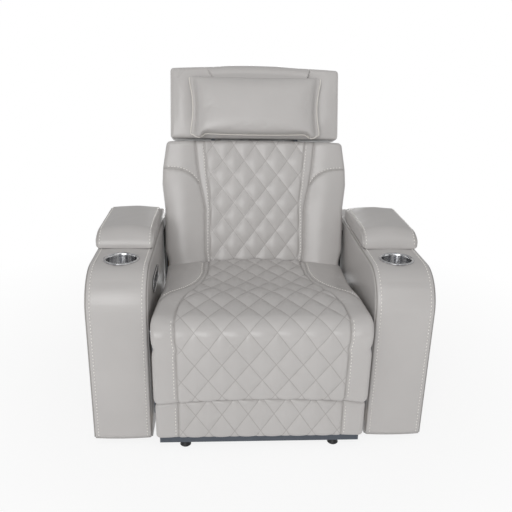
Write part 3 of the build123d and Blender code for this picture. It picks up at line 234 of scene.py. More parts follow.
def leather(name, diamond=None, tones=("#bdbab8", "#c9c6c4")):
    """Upholstery leather; with a diamond it also has rows of quilting in the piece's own sewn coordinates."""
    made, tree, shader, at = new_material(name, {"IOR": 1.48})
    cloud = add(tree, "ShaderNodeTexNoise", {"Vector": at, "Scale": 1 / HIDE_CLOUD, "Detail": 3.0})
    low, high = (linear(tone) for tone in tones)
    tint = add(tree, "ShaderNodeMix", {0: cloud, 6: low, 7: high}, 2, data_type="RGBA")
    pebble = add(tree, "ShaderNodeTexVoronoi", {"Vector": at, "Scale": 1 / HIDE_PEBBLE})
    pore = add(tree, "ShaderNodeTexNoise", {"Vector": at, "Scale": 1 / HIDE_PORE, "Detail": 2.0})
    height = add(tree, "ShaderNodeMath", {0: pebble, 1: 0.7, 2: pore}, operation="MULTIPLY_ADD")
    seam = add(tree, "ShaderNodeAttribute", {}, "Fac", attribute_name="seam")
    if diamond:
        wide, tall = diamond
        sewn = add(tree, "ShaderNodeUVMap", {}, uv_map="sewn")
        parts = add(tree, "ShaderNodeSeparateXYZ", {0: sewn}, None)
        rows = []
        for slant in (1 / tall, -1 / tall):
            rise = add(tree, "ShaderNodeMath", {0: parts[1], 1: slant}, operation="MULTIPLY")
            row = add(tree, "ShaderNodeMath", {0: parts[0], 1: 1 / wide, 2: rise}, operation="MULTIPLY_ADD")
            rows.append(add(tree, "ShaderNodeMath", {0: row, 1: 0.5}, operation="PINGPONG"))
        near = add(tree, "ShaderNodeMath", {0: rows[0], 1: rows[1]}, operation="MINIMUM")
        line = add(tree, "ShaderNodeMapRange", {0: near, 1: 0.007, 2: 0.024, 3: 1.0, 4: 0.0},
                   interpolation_type="SMOOTHSTEP")
        quilt = add(tree, "ShaderNodeAttribute", {}, "Fac", attribute_name="quilt")
        quilt = add(tree, "ShaderNodeMath", {0: quilt, 1: 0.8}, operation="MULTIPLY")
        line = add(tree, "ShaderNodeMath", {0: line, 1: quilt}, operation="MULTIPLY")
        seam = add(tree, "ShaderNodeMath", {0: line, 1: seam}, operation="MAXIMUM")
    # Painted shade: seams and quilting lines are darkened towards #7d7873 to stand in for the shade in their
    # grooves.
    shade = add(tree, "ShaderNodeMath", {0: seam, 1: 0.5}, operation="MULTIPLY")
    tint = add(tree, "ShaderNodeMix", {0: shade, 6: tint, 7: linear("#7d7873")}, 2, data_type="RGBA")
    gloss = add(tree, "ShaderNodeMapRange", {0: cloud, 3: 0.24, 4: 0.36})
    bump = add(tree, "ShaderNodeBump", {"Height": height, "Strength": 0.3, "Distance": 0.0002})
    plug(tree, shader, {"Base Color": tint, "Roughness": gloss, "Normal": bump})
    return made


plain_leather = leather("greige_leather")


def soften(bm):
    """Shades all faces of a mesh smoothly."""
    for face in bm.faces:
        face.smooth = True


def to_piece(bm, name, body, material):
    """Makes a mesh a piece that rides on a body."""
    mesh = bpy.data.meshes.new(name)
    bm.to_mesh(mesh)
    bm.free()
    mesh.materials.append(material)
    piece = new_object(name, mesh)
    if body:
        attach(piece, body)
    return piece


def split(bm, axis, cuts):
    """Divides all edges that run along an axis."""
    edges = [e for e in bm.edges if abs((e.verts[0].co - e.verts[1].co).normalized()[axis]) > 0.99]
    bmesh.ops.subdivide_edges(bm, edges=edges, cuts=cuts, use_grid_fill=True)


def slice_at(bm, axis, place):
    """Cuts new edges right across a mesh."""
    normal = Vector((0, 0, 0))
    normal[axis] = 1
    geometry = bm.verts[:] + bm.edges[:] + bm.faces[:]
    bmesh.ops.bisect_plane(bm, geom=geometry, dist=1e-6, plane_co=normal * place, plane_no=normal)


def square_to_round(a, b):
    """Point of a square that reaches from 0 to 1, moved so that the square's far sides lie on a circle."""
    if abs(a) < abs(b):
        return square_to_round(b, a)[::-1]
    angle = math.pi / 4 * b / a if a else 0.0
    return a * math.cos(angle), a * math.sin(angle)


arm_low, arm_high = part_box("arm_right")
arm_front = arm_low.y
arm_middle = (arm_low.x + arm_high.x) / 2
arm_half = (arm_high.x - arm_low.x) / 2
ARM_ROLL = 0.118
ARM_REAR_ROLL = 0.040
ARM_EDGE = 0.009
ARM_CROWN = 0.005
ARM_SWELL_OUT, ARM_SWELL_IN = 0.004, 0.0015
ARM_SEAM_DEPTH = 0.0028
ARM_CUTS = 13, 56, 40
CUP_HOLE = 0.050
CUP_BLEND = 0.085
CUP_FLAT = 0.070
BIN_LIP = 0.004
PANEL_HOLE = 0.063, 0.014
TOUCH = 1e-4
cup_low, cup_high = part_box("cup_holder_right")
cup_y = (cup_low.y + cup_high.y) / 2
bin_low, bin_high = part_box("storage_bin_right")
arm_upright = arm_high.z - ARM_ROLL - arm_low.z
arm_roll_run = ARM_ROLL * math.pi / 2


def arm_outline(run):
    """Point and outward normal on the arm's side outline, from the foot of its front over the deck."""
    if run < arm_upright:
        return (arm_low.y, arm_low.z + run), (-1.0, 0.0)
    run -= arm_upright
    if run < arm_roll_run:
        angle = run / ARM_ROLL
        normal = (-math.cos(angle), math.sin(angle))
        return (arm_low.y + ARM_ROLL * (1 + normal[0]), arm_high.z - ARM_ROLL * (1 - normal[1])), normal
    return (arm_low.y + ARM_ROLL + run - arm_roll_run, arm_high.z), (0.0, 1.0)


def in_arm_hole(middle, side):
    """Whether a face of the arm's box lies over the cup, the storage bin or the switch panel."""
    if middle.z > arm_high.z - TOUCH:
        over_cup = max(abs(middle.x - arm_middle), abs(middle.y - cup_y)) < CUP_HOLE
        over_bin = bin_low.x + BIN_LIP < middle.x < bin_high.x - BIN_LIP
        return over_cup or (over_bin and bin_low.y + BIN_LIP < middle.y < bin_high.y - BIN_LIP)
    if side > 0 or middle.x > arm_low.x + TOUCH:
        return False
    return abs(middle.y - panel_middle.y) < PANEL_HOLE[0] and abs(middle.z - panel_middle.z) < PANEL_HOLE[1]


def arm_form(x, y, z):
    """Place of the arm's box on the padded arm: round at the cup, crowned, swollen and rolled over."""
    dx, dy = x - arm_middle, y - cup_y
    reach = max(abs(dx), abs(dy))
    on_deck = z > arm_high.z - TOUCH
    if on_deck and reach < CUP_BLEND:
        share = min(1.0, (CUP_BLEND - reach) / (CUP_BLEND - CUP_HOLE))
        a, b = square_to_round(dx, dy)
        x, y = x + (a - dx) * share, y + (b - dy) * share
    crown = ARM_CROWN * (1 - ((x - arm_middle) / arm_half) ** 2)
    if on_deck:
        z += crown * 0.5 * min(1.0, max(0.0, (y - arm_low.y) / 0.1)) * (0 if reach < CUP_FLAT else 1)
    elif y < arm_low.y + TOUCH:
        y -= crown
    elif abs(x - arm_middle) > arm_half - TOUCH:
        swell = math.sin(math.pi * (y - arm_low.y) / (arm_high.y - arm_low.y))
        swell *= math.sin(math.pi * (z - arm_low.z) / (arm_high.z - arm_low.z))
        x += (ARM_SWELL_OUT if x > arm_middle else -ARM_SWELL_IN) * max(0.0, swell) ** 0.6
    for corner_y, roll, way in ((arm_low.y, ARM_ROLL, -1), (arm_high.y, ARM_REAR_ROLL, 1)):
        a = way * (y - corner_y) / roll + 1
        b = (z - arm_high.z) / roll + 1
        if a > 0 and b > 0:
            a, b = square_to_round(a, b)
            y = corner_y + way * (a - 1) * roll
            z = arm_high.z + (b - 1) * roll
    return x, y, z


def is_side_edge(edge):
    """Whether a sharp edge borders one of the arm's side panels, apart from its foot."""
    if len(edge.link_faces) != 2 or edge.calc_face_angle() <= 1.0:
        return False
    a, b = (vert.co for vert in edge.verts)
    if min(a.z, b.z) <= arm_low.z + TOUCH and abs(a.z - b.z) <= 0.004:
        return False
    return all(abs(abs(place.x - arm_middle) - arm_half) < 0.005 for place in (a, b))


def arm_cover(side):
    """Arm cover on the +X side, turned over for the other."""
    bm = bmesh.new()
    bmesh.ops.create_cube(bm, size=1.0)
    bmesh.ops.scale(bm, vec=arm_high - arm_low, verts=bm.verts)
    bmesh.ops.translate(bm, vec=(arm_high + arm_low) / 2, verts=bm.verts)
    for axis, cuts in enumerate(ARM_CUTS):
        split(bm, axis, cuts)
    for axis, middle in ((0, arm_middle), (1, cup_y)):
        slice_at(bm, axis, middle - CUP_HOLE)
        slice_at(bm, axis, middle + CUP_HOLE)
    for axis in (0, 1):
        slice_at(bm, axis, bin_low[axis] + BIN_LIP)
        slice_at(bm, axis, bin_high[axis] - BIN_LIP)
    if side < 0:
        for axis, half in zip((1, 2), PANEL_HOLE):
            slice_at(bm, axis, panel_middle[axis] - half)
            slice_at(bm, axis, panel_middle[axis] + half)
    gone = [face for face in bm.faces if in_arm_hole(face.calc_center_median(), side)]
    bmesh.ops.delete(bm, geom=gone, context="FACES")
    for vert in bm.verts:
        vert.co = arm_form(*vert.co)
    bmesh.ops.bevel(
        bm, geom=[edge for edge in bm.edges if is_side_edge(edge)], offset=ARM_EDGE, offset_type="OFFSET",
        segments=4, profile=0.5, affect="EDGES", material=-1, clamp_overlap=True,
    )
    seam = bm.verts.layers.float.new("seam")
    bm.normal_update()
    for vert in bm.verts:
        # Painted shade: the groove between top and side panels gets a seam value of 1.6, so the leather is
        # painted darker there than at other seams.
        if 0.2 * ARM_EDGE < arm_half - abs(vert.co.x - arm_middle) < 0.4 * ARM_EDGE:
            vert.co -= vert.normal * ARM_SEAM_DEPTH
            vert[seam] = 1.6
    if side < 0:
        bmesh.ops.scale(bm, vec=(-1, 1, 1), verts=bm.verts)
        bmesh.ops.reverse_faces(bm, faces=bm.faces)
    soften(bm)
    name = "arm_right" if side > 0 else "arm_left"
    piece = to_piece(bm, name + "_cover", "base", plain_leather)
    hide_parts(name)


arm_cover(1)
arm_cover(-1)

# Top stitching: bonded nylon thread, cream against the greige, about 1 mm thick in stitches of
# 6 mm. It is drawn over 3 mm thick so that it shows from a step away.
STITCH_PITCH = 0.0110
STITCH_LENGTH = 0.0060
STITCH_THICK = 0.0034
STITCH_PROUD = 0.0004
thread = mottled("cream_nylon_thread", {"IOR": 1.5}, 0.0008, 1.0, ("#efece6", "#fbf9f4"), (0.4, 0.6))


def along(points, pitch):
    """Points and tangents at even steps along a path."""
    points = np.asarray(points, float)
    steps = np.linalg.norm(np.diff(points, axis=0), axis=1)
    run = np.concatenate([[0.0], np.cumsum(steps)])
    places = np.arange(pitch / 2, run[-1], pitch)
    here, ahead, behind = (
        np.stack([np.interp(places + shift, run, points[:, i]) for i in range(3)], 1)
        for shift in (0.0, 0.001, -0.001)
    )
    return here, ahead - behind


def topstitch(name, body, *paths):
    """Rows of stitches along paths that lie on the leather."""
    bm = bmesh.new()
    size = Matrix.Diagonal((STITCH_LENGTH / 2, STITCH_THICK / 2, STITCH_THICK / 2, 1.0))
    for path in paths:
        for point, tangent in zip(*along(path, STITCH_PITCH)):
            turn = Vector(tangent).to_track_quat("X", "Z").to_matrix().to_4x4()
            place = Matrix.Translation(Vector(point)) @ turn @ size
            bmesh.ops.create_icosphere(bm, subdivisions=1, radius=1.0, matrix=place)
    soften(bm)
    return to_piece(bm, name, body, thread)


ARM_STITCH_INSET = 0.016
ARM_STITCH_END = 0.62
arm_front_run = arm_upright + arm_roll_run
rows = []
for side in (1, -1):
    for inset in (ARM_STITCH_INSET, 2 * arm_half - ARM_STITCH_INSET):
        x = side * (arm_low.x + inset)
        across = 1 - ((abs(x) - arm_middle) / arm_half) ** 2
        row = []
        for run in np.arange(0.006, arm_front_run + ARM_STITCH_END - ARM_ROLL, 0.004):
            (y, z), normal = arm_outline(run)
            lift = ARM_CROWN * across * (1.0 if run < arm_front_run - ARM_ROLL else 0.5) + STITCH_PROUD
            row.append((x, y + normal[0] * lift, z + normal[1] * lift))
        rows.append(row)
topstitch("arm_stitching", "base", *rows)

# Cup holders: spun stainless cups with a rolled rim, dropped into the arms. The spinning leaves fine
# rings on the wall. The lighter and darker streaks round the cup are painted reflections, set by the way each
# face turns.
stainless, tree, shader, at = new_material("spun_stainless", {"Metallic": 1.0, "Anisotropic": 0.5})
rings = add(tree, "ShaderNodeMapping", {"Vector": at, "Scale": (30.0, 30.0, 1400.0)})
spun = add(tree, "ShaderNodeTexNoise", {"Vector": rings, "Scale": 1.0, "Detail": 2.0})
# Painted reflection: the tone sways with each face's direction round the cup, as vertical light and dark
# streaks.
facing = add(tree, "ShaderNodeNewGeometry", {}, "Normal")
around = add(tree, "ShaderNodeMapping", {"Vector": facing, "Scale": (3.2, 3.2, 0.0)})
painted_reflection_streak = add(tree, "ShaderNodeTexNoise", {"Vector": around, "Scale": 1.0, "Detail": 2.0})
painted_reflection_streak = add(tree, "ShaderNodeMapRange", {0: painted_reflection_streak, 1: 0.38, 2: 0.62})
tint = add(tree, "ShaderNodeMix", {0: painted_reflection_streak, 6: linear("#a0a1a5"), 7: linear("#fafafa")}, 2,
           data_type="RGBA")
gloss = add(tree, "ShaderNodeMapRange", {0: spun, 3: 0.12, 4: 0.28})
bump = add(tree, "ShaderNodeBump", {"Height": spun, "Strength": 0.15, "Distance": 0.0001})
plug(tree, shader, {"Base Color": tint, "Roughness": gloss, "Normal": bump})
CUP_RADIUS = 0.045
CUP_WALL = 0.0015
CUP_CORNER = 0.004
cup_floor = cup_low.z + CUP_WALL
cup_outside = CUP_RADIUS + CUP_WALL
deck = arm_high.z
cup_profile = [
    (0.0, cup_floor - 0.0005), (CUP_RADIUS - CUP_CORNER, cup_floor), (CUP_RADIUS, cup_floor + CUP_CORNER),
    (CUP_RADIUS, deck - 0.006), (CUP_RADIUS + 0.0006, deck + 0.001), (CUP_RADIUS + 0.003, deck + 0.0032),
    (CUP_RADIUS + 0.006, deck + 0.0034), (CUP_RADIUS + 0.0085, deck + 0.0022),
    (CUP_RADIUS + 0.009, deck + 0.0002), (cup_outside, deck - 0.0004), (cup_outside, cup_low.z + CUP_CORNER),
    (cup_outside - CUP_CORNER, cup_low.z), (0.0, cup_low.z),
]
for side, name in ((1, "cup_holder_right"), (-1, "cup_holder_left")):
    bm = bmesh.new()
    ring = [bm.verts.new((radius, 0, z)) for radius, z in cup_profile]
    edges = [bm.edges.new(pair) for pair in zip(ring, ring[1:])]
    bmesh.ops.spin(
        bm, geom=ring + edges, cent=(0, 0, 0), axis=(0, 0, 1), angle=2 * math.pi, steps=72, use_merge=True,
    )
    bmesh.ops.remove_doubles(bm, verts=bm.verts, dist=1e-6)
    bmesh.ops.translate(bm, vec=(side * arm_middle, cup_y, 0), verts=bm.verts)
    bmesh.ops.recalc_face_normals(bm, faces=bm.faces)
    soften(bm)
    piece = to_piece(bm, name + "_spun", "base", stainless)
    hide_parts(name)

# Storage lids: foam on a board, boxed in leather, with the top panel rolled down over the front
# and top-stitched along its two long seams.
UNEVEN = 0.0007
PUCKER_PITCH, PUCKER_LIFT, PUCKER_REACH = 0.021, 0.0009, 0.011


def close_to(distance, reach):
    """1 on a line, and less beside it: a third at the reach, hardly anything at twice the reach."""
    return np.exp(-(distance / reach) ** 2)


def unevenness(x, s):
    """Lift of the slow waves that keep a stuffed face from lying dead flat."""
    broad = np.sin(37 * x + 11 * s) * np.sin(29 * s - 13 * x + 1)
    narrow = np.sin(83 * x - 41 * s) * np.sin(61 * s + 2)
    return UNEVEN * (0.6 * broad + 0.4 * narrow)


def pucker(distance, run):
    """Fine ripples across a seam, where its thread gathers the leather; they die out within 20 mm."""
    wave = np.sin(run * 2 * math.pi / PUCKER_PITCH + 2 * np.sin(run * 31)) * (0.6 + 0.4 * np.sin(run * 53))
    return PUCKER_LIFT * wave * close_to(distance, PUCKER_REACH)


def sewn_pad(name, body, material, size, edge, step, shape, place, width=None, phase=0.0, wall=None,
             opening=None):
    """Closed cushion: a sheet wrapped over a slab, rounded, lifted by its shape and set in place.

    Its size is its half width, length and depth; its edge is the radius of its edges and its step the
    mesh's. shape(x, s) gives the lift of the face, how far it is quilted and how close a seam is; the
    phase is where its quilting starts. With a wall it stays open behind, as a cover of that thickness,
    and opening(x, s, t) marks what is cut out of it."""
    half, length, depth = size
    bm = bmesh.new()
    reach_x = half + depth
    reach_s = length / 2 + depth
    columns, rows = round(2 * reach_x / step), round(2 * reach_s / step)
    bmesh.ops.create_grid(bm, x_segments=columns, y_segments=rows, size=1.0)
    sheet = np.array([vert.co[:2] for vert in bm.verts])
    x, s = sheet[:, 0] * reach_x, sheet[:, 1] * reach_s + length / 2
    over = np.maximum(np.maximum(abs(x) - half, np.maximum(-s, s - length)), 0)
    flat = np.stack([np.clip(x, -half, half), np.clip(s, 0, length), depth - over], 1)
    core = np.clip(flat, (edge - half, edge, -np.inf), (half - edge, length - edge, depth - edge))
    away = flat - core
    x, s, t = (core + away * (edge / np.linalg.norm(away, axis=1))[:, None]).T
    lift, quilt, seam = shape(x, s)
    t = t + (lift + unevenness(x, s)) * np.clip(t / depth, 0, 1) ** 2
    spread = x * width(s, t) / half if width else x
    world = place(spread, s, t)
    layers = bm.verts.layers.float.new("quilt"), bm.verts.layers.float.new("seam")
    sewn = bm.loops.layers.uv.new("sewn")
    for i, vert in enumerate(bm.verts):
        vert.index = i
        vert.co = world[i]
        vert[layers[0]], vert[layers[1]] = quilt[i], seam[i]
    soften(bm)
    for face in bm.faces:
        for loop in face.loops:
            loop[sewn].uv = x[loop.vert.index], s[loop.vert.index]
    if opening:
        cut = opening(x, s, t)
        bmesh.ops.delete(bm, geom=[vert for vert in bm.verts if cut[vert.index]], context="VERTS")
    bmesh.ops.remove_doubles(bm, verts=bm.verts, dist=2e-5)
    bmesh.ops.dissolve_degenerate(bm, dist=2e-5, edges=bm.edges)
    if wall:
        bmesh.ops.recalc_face_normals(bm, faces=bm.faces)
        bmesh.ops.solidify(bm, geom=bm.faces, thickness=wall)
        soften(bm)
    else:
        rim = [e for e in bm.edges if e.is_boundary]
        sides = [e for e in rim if abs(e.verts[0].co.x - e.verts[1].co.x) < 0.3 * e.calc_length()]
        bmesh.ops.bridge_loops(bm, edges=sides)
        bmesh.ops.holes_fill(bm, edges=[e for e in bm.edges if e.is_boundary], sides=0)
        bmesh.ops.recalc_face_normals(bm, faces=bm.faces)
    piece = to_piece(bm, name, body, material)
    for loop in piece.data.uv_layers["sewn"].data:
        loop.uv[1] -= phase
    return piece


def face_point(size, shape, place, width=None):
    """Function that gives the place of a stitch on a pad's face over one of its flat places."""
    half, _, depth = size

    def found(x, s):
        t = depth + shape(x, s)[0] + unevenness(x, s)
        spread = x * width(s, t) / half if width else x
        return place(spread, s, t + STITCH_PROUD)
    return found


lid_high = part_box("lid_pad_right")[1]
board_low, board_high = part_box("lid_board_right")
LID_OVERHANG = 0.0055
LID_OUT = 0.0025
LID_AHEAD = 0.006
LID_ROLL = 0.064
LID_DROP = 0.042
LID_CROWN = 0.012
LID_CROWN_ROOM = 0.010
LID_SEAM, LID_SEAM_REACH, LID_SEAM_DEPTH = 0.0055, 0.0028, 0.002
LID_STITCH = 0.0125
LID_TUCK, LID_TUCK_REACH = 0.005, 0.007
lid_half = (board_high.x - board_low.x) / 2 + LID_OVERHANG
lid_length = board_high.y - board_low.y + LID_AHEAD
lid_depth = lid_high.z - board_low.z - LID_CROWN_ROOM
lid_size = lid_half, lid_length, lid_depth


def lid_shape(x, s):
    """Crowned top with a shallow valley along the seams."""
    crown = LID_CROWN * (1 - (x / lid_half) ** 2) * (1 - ((s - lid_length / 2) / lid_length * 2) ** 10)
    inside = lid_half - LID_SEAM - abs(x)
    valley = close_to(inside, LID_SEAM_REACH)
    return crown - LID_SEAM_DEPTH * valley + pucker(inside, s), 0 * x, 0.8 * valley


def lid_width(s, t):
    """Half width: full, and tucked in where the leather turns under the board."""
    return lid_half - LID_TUCK * close_to(t, LID_TUCK_REACH)


for side, name in ((1, "right"), (-1, "left")):
    def lid_place(x, s, t, side=side):
        """Sets the lid on its board and rolls its front down."""
        near = np.clip(1 - s / LID_ROLL, 0, 1)
        drop = LID_DROP * (1 - np.sqrt(1 - near * near)) * t / lid_depth
        across = x + side * (arm_middle + LID_OUT)
        return np.stack([across, s + board_low.y - LID_AHEAD, t - drop + board_low.z], 1)

    piece = sewn_pad("lid_" + name + "_pad", "lid_" + name, plain_leather, lid_size, 0.010, 0.005,
                     lid_shape, lid_place, lid_width)
    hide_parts("lid_pad_" + name, "lid_board_" + name)
    on_lid = face_point(lid_size, lid_shape, lid_place)
    run = np.concatenate([np.geomspace(0.0004, 0.03, 24), np.arange(0.034, lid_length - 0.012, 0.004)])
    topstitch("lid_" + name + "_stitching", "lid_" + name, *[
        on_lid(np.full(run.shape, way * (lid_half - LID_STITCH)), run) for way in (1, -1)
    ])

# Seat and footrest: one run of leather over foam, from the back over the knee and down to the
# toe pad. Its middle is quilted in diamonds; seams swing out from the back to plain side bands.


def smooth_line(points, count=40):
    """Smooth line through a few points."""
    points = np.asarray(points, float)
    padded = np.vstack([2 * points[0] - points[1], points, 2 * points[-1] - points[-2]])
    made = []
    for i in range(len(points) - 1):
        a, b, c, d = padded[i:i + 4]
        for share in np.linspace(0, 1, count // (len(points) - 1), endpoint=False):
            bend = (2 * a - 5 * b + 4 * c - d) * share ** 2 + (3 * b - a - 3 * c + d) * share ** 3
            made.append(0.5 * (2 * b + (c - a) * share + bend))
    return [tuple(p) for p in made] + [tuple(points[-1])]


def distance_to(x, s, points):
    """Distance of each place to a line of points."""
    best = np.full(x.shape, 9.0)
    for (x0, s0), (x1, s1) in zip(points, points[1:]):
        dx, ds = x1 - x0, s1 - s0
        share = np.clip(((x - x0) * dx + (s - s0) * ds) / (dx * dx + ds * ds), 0, 1)
        best = np.minimum(best, np.hypot(x - x0 - share * dx, s - s0 - share * ds))
    return best


def x_along(line, s):
    """How far from the middle a seam lies at each place of its run."""
    return np.interp(s, [p[1] for p in line], [p[0] for p in line])


def diamonds(x, s, size):
    """Swell of a face that is stitched in diamonds: 0 on the stitches, 1 in the middle."""
    a, b = x / size[0] + s / size[1], x / size[0] - s / size[1]
    return np.sqrt(abs(np.sin(math.pi * a) * np.sin(math.pi * b)))


SEAT_DIAMOND = 0.0765, 0.107
SEAT_ROW = 0.242
SEAT_DEPTH = 0.046
SEAT_EDGE = 0.014
SEAM_RISE = 0.014
SEAM_REACH = 0.0026
BAND_REACH = 0.020
QUILT_FADE = 0.004
FINE_STEP = 0.0033
SEAT_STITCH, FOOTREST_STITCH = 0.007, 0.008
knee_low, knee_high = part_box("knee_roll")
knee = Vector((0, knee_high.y + 0.0005, knee_low.z - 0.0005))
knee_radius = knee_high.z - knee.z
knee_run = knee_radius * math.pi / 2
seat_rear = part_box("back_quilt_pad")[0].y + 0.004
seat_run = seat_rear - knee.y
knee_end = seat_run + knee_run
pad_low, pad_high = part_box("footrest_pad")
footrest_run = knee.z - pad_low.z - 0.001
seat_core = knee_radius - SEAT_DEPTH
seat_half = pad_high.x
seat_length = knee_end + footrest_run
seat_size = seat_half, seat_length, SEAT_DEPTH
seat_phase = knee_end + knee.z - SEAT_ROW
quilted = leather("quilted_greige_leather", SEAT_DIAMOND)


def seat_place(x, s, t):
    """Sets the run of leather along the seat, round the knee and down the footrest."""
    turn = np.clip((s - seat_run) / knee_radius, 0, math.pi / 2)
    flat = seat_run - np.minimum(s, seat_run)
    down = np.maximum(s - knee_end, 0)
    down = down * (1 - SEAM_RISE / footrest_run * (1 - (x / seat_half) ** 2))
    reach = seat_core + t
    return np.stack([x, knee.y + flat - reach * np.sin(turn), knee.z - down + reach * np.cos(turn)], 1)


def seat_line(points):
    """Line drawn in mm as (x, y behind the arm front), as places on the run of leather."""
    return smooth_line([(x / 1000, seat_run - (y / 1000 + arm_front - knee.y)) for x, y in points])


inner_seam = seat_line([
    (163, 470), (166, 400), (172, 330), (190, 257), (214, 172), (237, 100), (245, 30), (245, -60),
])
inner_seam += [(0.243, knee_end + 0.05), (0.241, seat_length)]
outer_seam = seat_line([
    (180, 470), (181, 400), (183, 345), (201, 274), (238, 202), (276, 146), (303, 84), (330, 30),
])


def seat_shape(x, s):
    """Crown, fall of the rear corners, quilted swell and seam valleys."""
    inside = distance_to(abs(x), s, inner_seam)
    beside = distance_to(abs(x), s, outer_seam)
    quilt = np.clip((x_along(inner_seam, s) - abs(x)) / QUILT_FADE, 0, 1)
    rear = np.clip(1 - s / seat_run, 0, 1)
    fall = -0.030 * (x / seat_half) ** 2 * rear ** 1.2
    dish = -0.006 * close_to(s - 0.35 * seat_run, 0.16) * (1 - (x / seat_half) ** 2)
    places = [0, seat_run - 0.06, seat_run + 0.2 * knee_run, seat_run + 0.8 * knee_run, knee_end + 0.05]
    plump = np.interp(s, places, [0.0072, 0.0075, 0.0040, 0.0040, 0.0070])
    swell = plump * diamonds(x, s - seat_phase, SEAT_DIAMOND) * quilt
    band = 0.005 * (1 - close_to(inside, BAND_REACH)) * (1 - quilt)
    valley = close_to(inside, SEAM_REACH)
    outer = close_to(beside, SEAM_REACH) * (s < seat_run + 0.02)
    roll = 0.010 * close_to(s - seat_run + 0.13, 0.07)
    roll = roll - 0.007 * close_to(s - seat_run - 0.45 * knee_run, 0.042)
    lift = fall + dish + roll + swell + band - 0.0035 * valley - 0.003 * outer
    lift = lift + pucker(inside, s) * (1 - quilt) + pucker(beside, s + 0.3) * (s < seat_run)
    return lift, quilt, np.maximum(valley, 0.9 * outer)


def in_front(t):
    """0 at the rear of a footrest pad, beside the hinge arms, and 1 in front of them."""
    return np.clip((t - 0.014) / 0.02, 0, 1)


def seat_width(s, t):
    """Half width: drawn in along the seat's sides, full at the knee and pinched just below it."""
    draw = close_to(s - 0.4 * seat_run, 0.3 * seat_run)
    places = [0.7 * seat_run, seat_run + 0.4 * knee_run, knee_end + 0.03, seat_length]
    full = np.interp(s, places, [0.0, 1.0, 0.75, 0.7]) * in_front(t)
    pinch = close_to(s - knee_end - 0.035, 0.014)
    tuck = close_to(seat_length - s, 0.012)
    return seat_half - 0.006 * draw + 0.012 * full - 0.004 * pinch - 0.005 * tuck


seat = sewn_pad("seat_and_footrest", None, quilted, seat_size, SEAT_EDGE, FINE_STEP, seat_shape, seat_place,
                seat_width, seat_phase)
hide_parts("seat_cushion", "knee_roll", "footrest_pad")
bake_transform(seat)
on_seat = face_point(seat_size, seat_shape, seat_place, seat_width)
line = np.array([p for p in outer_seam if p[0] < seat_half - 0.02 and p[1] > 0.02])
run = np.arange(seat_run + 0.02, seat_length - 0.016, 0.004)
rows = []
for way in (1, -1):
    rows.append(on_seat(way * (line[:, 0] + SEAT_STITCH), line[:, 1]))
    rows.append(on_seat(way * (x_along(inner_seam, run) + FOOTREST_STITCH), run))
stitches = topstitch("seat_stitching", None, *rows)
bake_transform(stitches)

# Linings: a plain dark grey non-woven cloth. It closes the box of foam under the seat leather.
# Dark sheets of it on the inner sides of the arms behind the back are painted shade: they darken the gap
# there.
lining_and_shade_cloth = mottled("grey_lining_and_shade_cloth", {"Roughness": 0.9}, 0.0012, 3.0, ("#3c3a39", "#514f4d"),
                 relief=(0.4, 0.0003))
ARM_SHADE_SHEET_SIZE = 0.23, 0.18, 0.0012
ARM_SHADE_SHEET_GAP = 0.0006
ARM_SHADE_SHEET_BEHIND = 0.545


def unformed(x, s):
    """Shape of a cloth that is neither swollen nor sewn through."""
    return 0 * x, 0 * x, 0 * x


for side, name in ((1, "right"), (-1, "left")):
    def behind_back(x, s, t, side=side):
        """Lays a cloth upright on the inner side of an arm."""
        across = side * (arm_low.x - ARM_SHADE_SHEET_GAP - t)
        return np.stack([across, arm_low.y + ARM_SHADE_SHEET_BEHIND + s, (arm_low.z + arm_high.z) / 2 + x], 1)

    # Painted shade: a dark sheet on the arm's inner side behind the back, which darkens the gap between back
    # and arm.
    panel = sewn_pad("arm_shade_sheet_" + name, "base", lining_and_shade_cloth, ARM_SHADE_SHEET_SIZE, 0.0005, 0.01, unformed, behind_back)
core_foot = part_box("seat_cushion")[0].z
core_depth = knee.z + seat_core - 0.032 - core_foot


def core_place(x, s, t):
    """Sets the box of foam under the seat leather."""
    return np.stack([x, knee.y + 0.03 + s, core_foot + t], 1)


core_size = seat_half - 0.008, seat_run - 0.05, core_depth
core = sewn_pad("seat_lining", "base", lining_and_shade_cloth, core_size, 0.012, 0.012, unformed, core_place)

# Toe pad: the lower part of the footrest, quilted like the seat and set back a little below the
# seam, with the same plain bands at its ends.
toe_low, toe_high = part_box("footrest_toe_pad")
TOE_DROP = 0.0177
TOE_SEAM, TOE_STITCH = 0.242, 0.250
TOE_ROW = 0.117
toe_foot = toe_low.z - TOE_DROP
toe_length = toe_high.z - toe_foot - SEAM_RISE
toe_depth = toe_high.y - toe_low.y - 0.006
toe_size = seat_half, toe_length, toe_depth
toe_phase = TOE_ROW - toe_foot + SEAT_DIAMOND[1] / 2


def toe_place(x, s, t):
    """Upright pad whose upper edge follows the seam above it."""
    up = s * (1 + SEAM_RISE / toe_length * (1 - (x / seat_half) ** 2))
    return np.stack([x, toe_high.y - t, toe_foot + up], 1)


def toe_shape(x, s):
    """Quilted middle between two bands."""
    inside = abs(abs(x) - TOE_SEAM)
    quilt = np.clip((TOE_SEAM - abs(x)) / QUILT_FADE, 0, 1)
    valley = close_to(inside, SEAM_REACH)
    swell = 0.0065 * diamonds(x, s - toe_phase, SEAT_DIAMOND) * quilt
    band = 0.004 * (1 - close_to(inside, BAND_REACH)) * (1 - quilt)
    return swell + band - 0.003 * valley + pucker(inside, s) * (1 - quilt), quilt, valley


def toe_width(s, t):
    """Half width: like the pad above, fuller away from the hinge arms."""
    return seat_half + 0.007 * in_front(t)


toe = sewn_pad("toe_pad", "footrest", quilted, toe_size, SEAT_EDGE, FINE_STEP, toe_shape, toe_place,
               toe_width, toe_phase)
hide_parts("footrest_toe_pad")
on_toe = face_point(toe_size, toe_shape, toe_place, toe_width)
run = np.arange(0.012, toe_length - 0.012, 0.004)
topstitch("toe_stitching", "footrest", *[
    on_toe(np.full(run.shape, way * TOE_STITCH), run) for way in (1, -1)
])

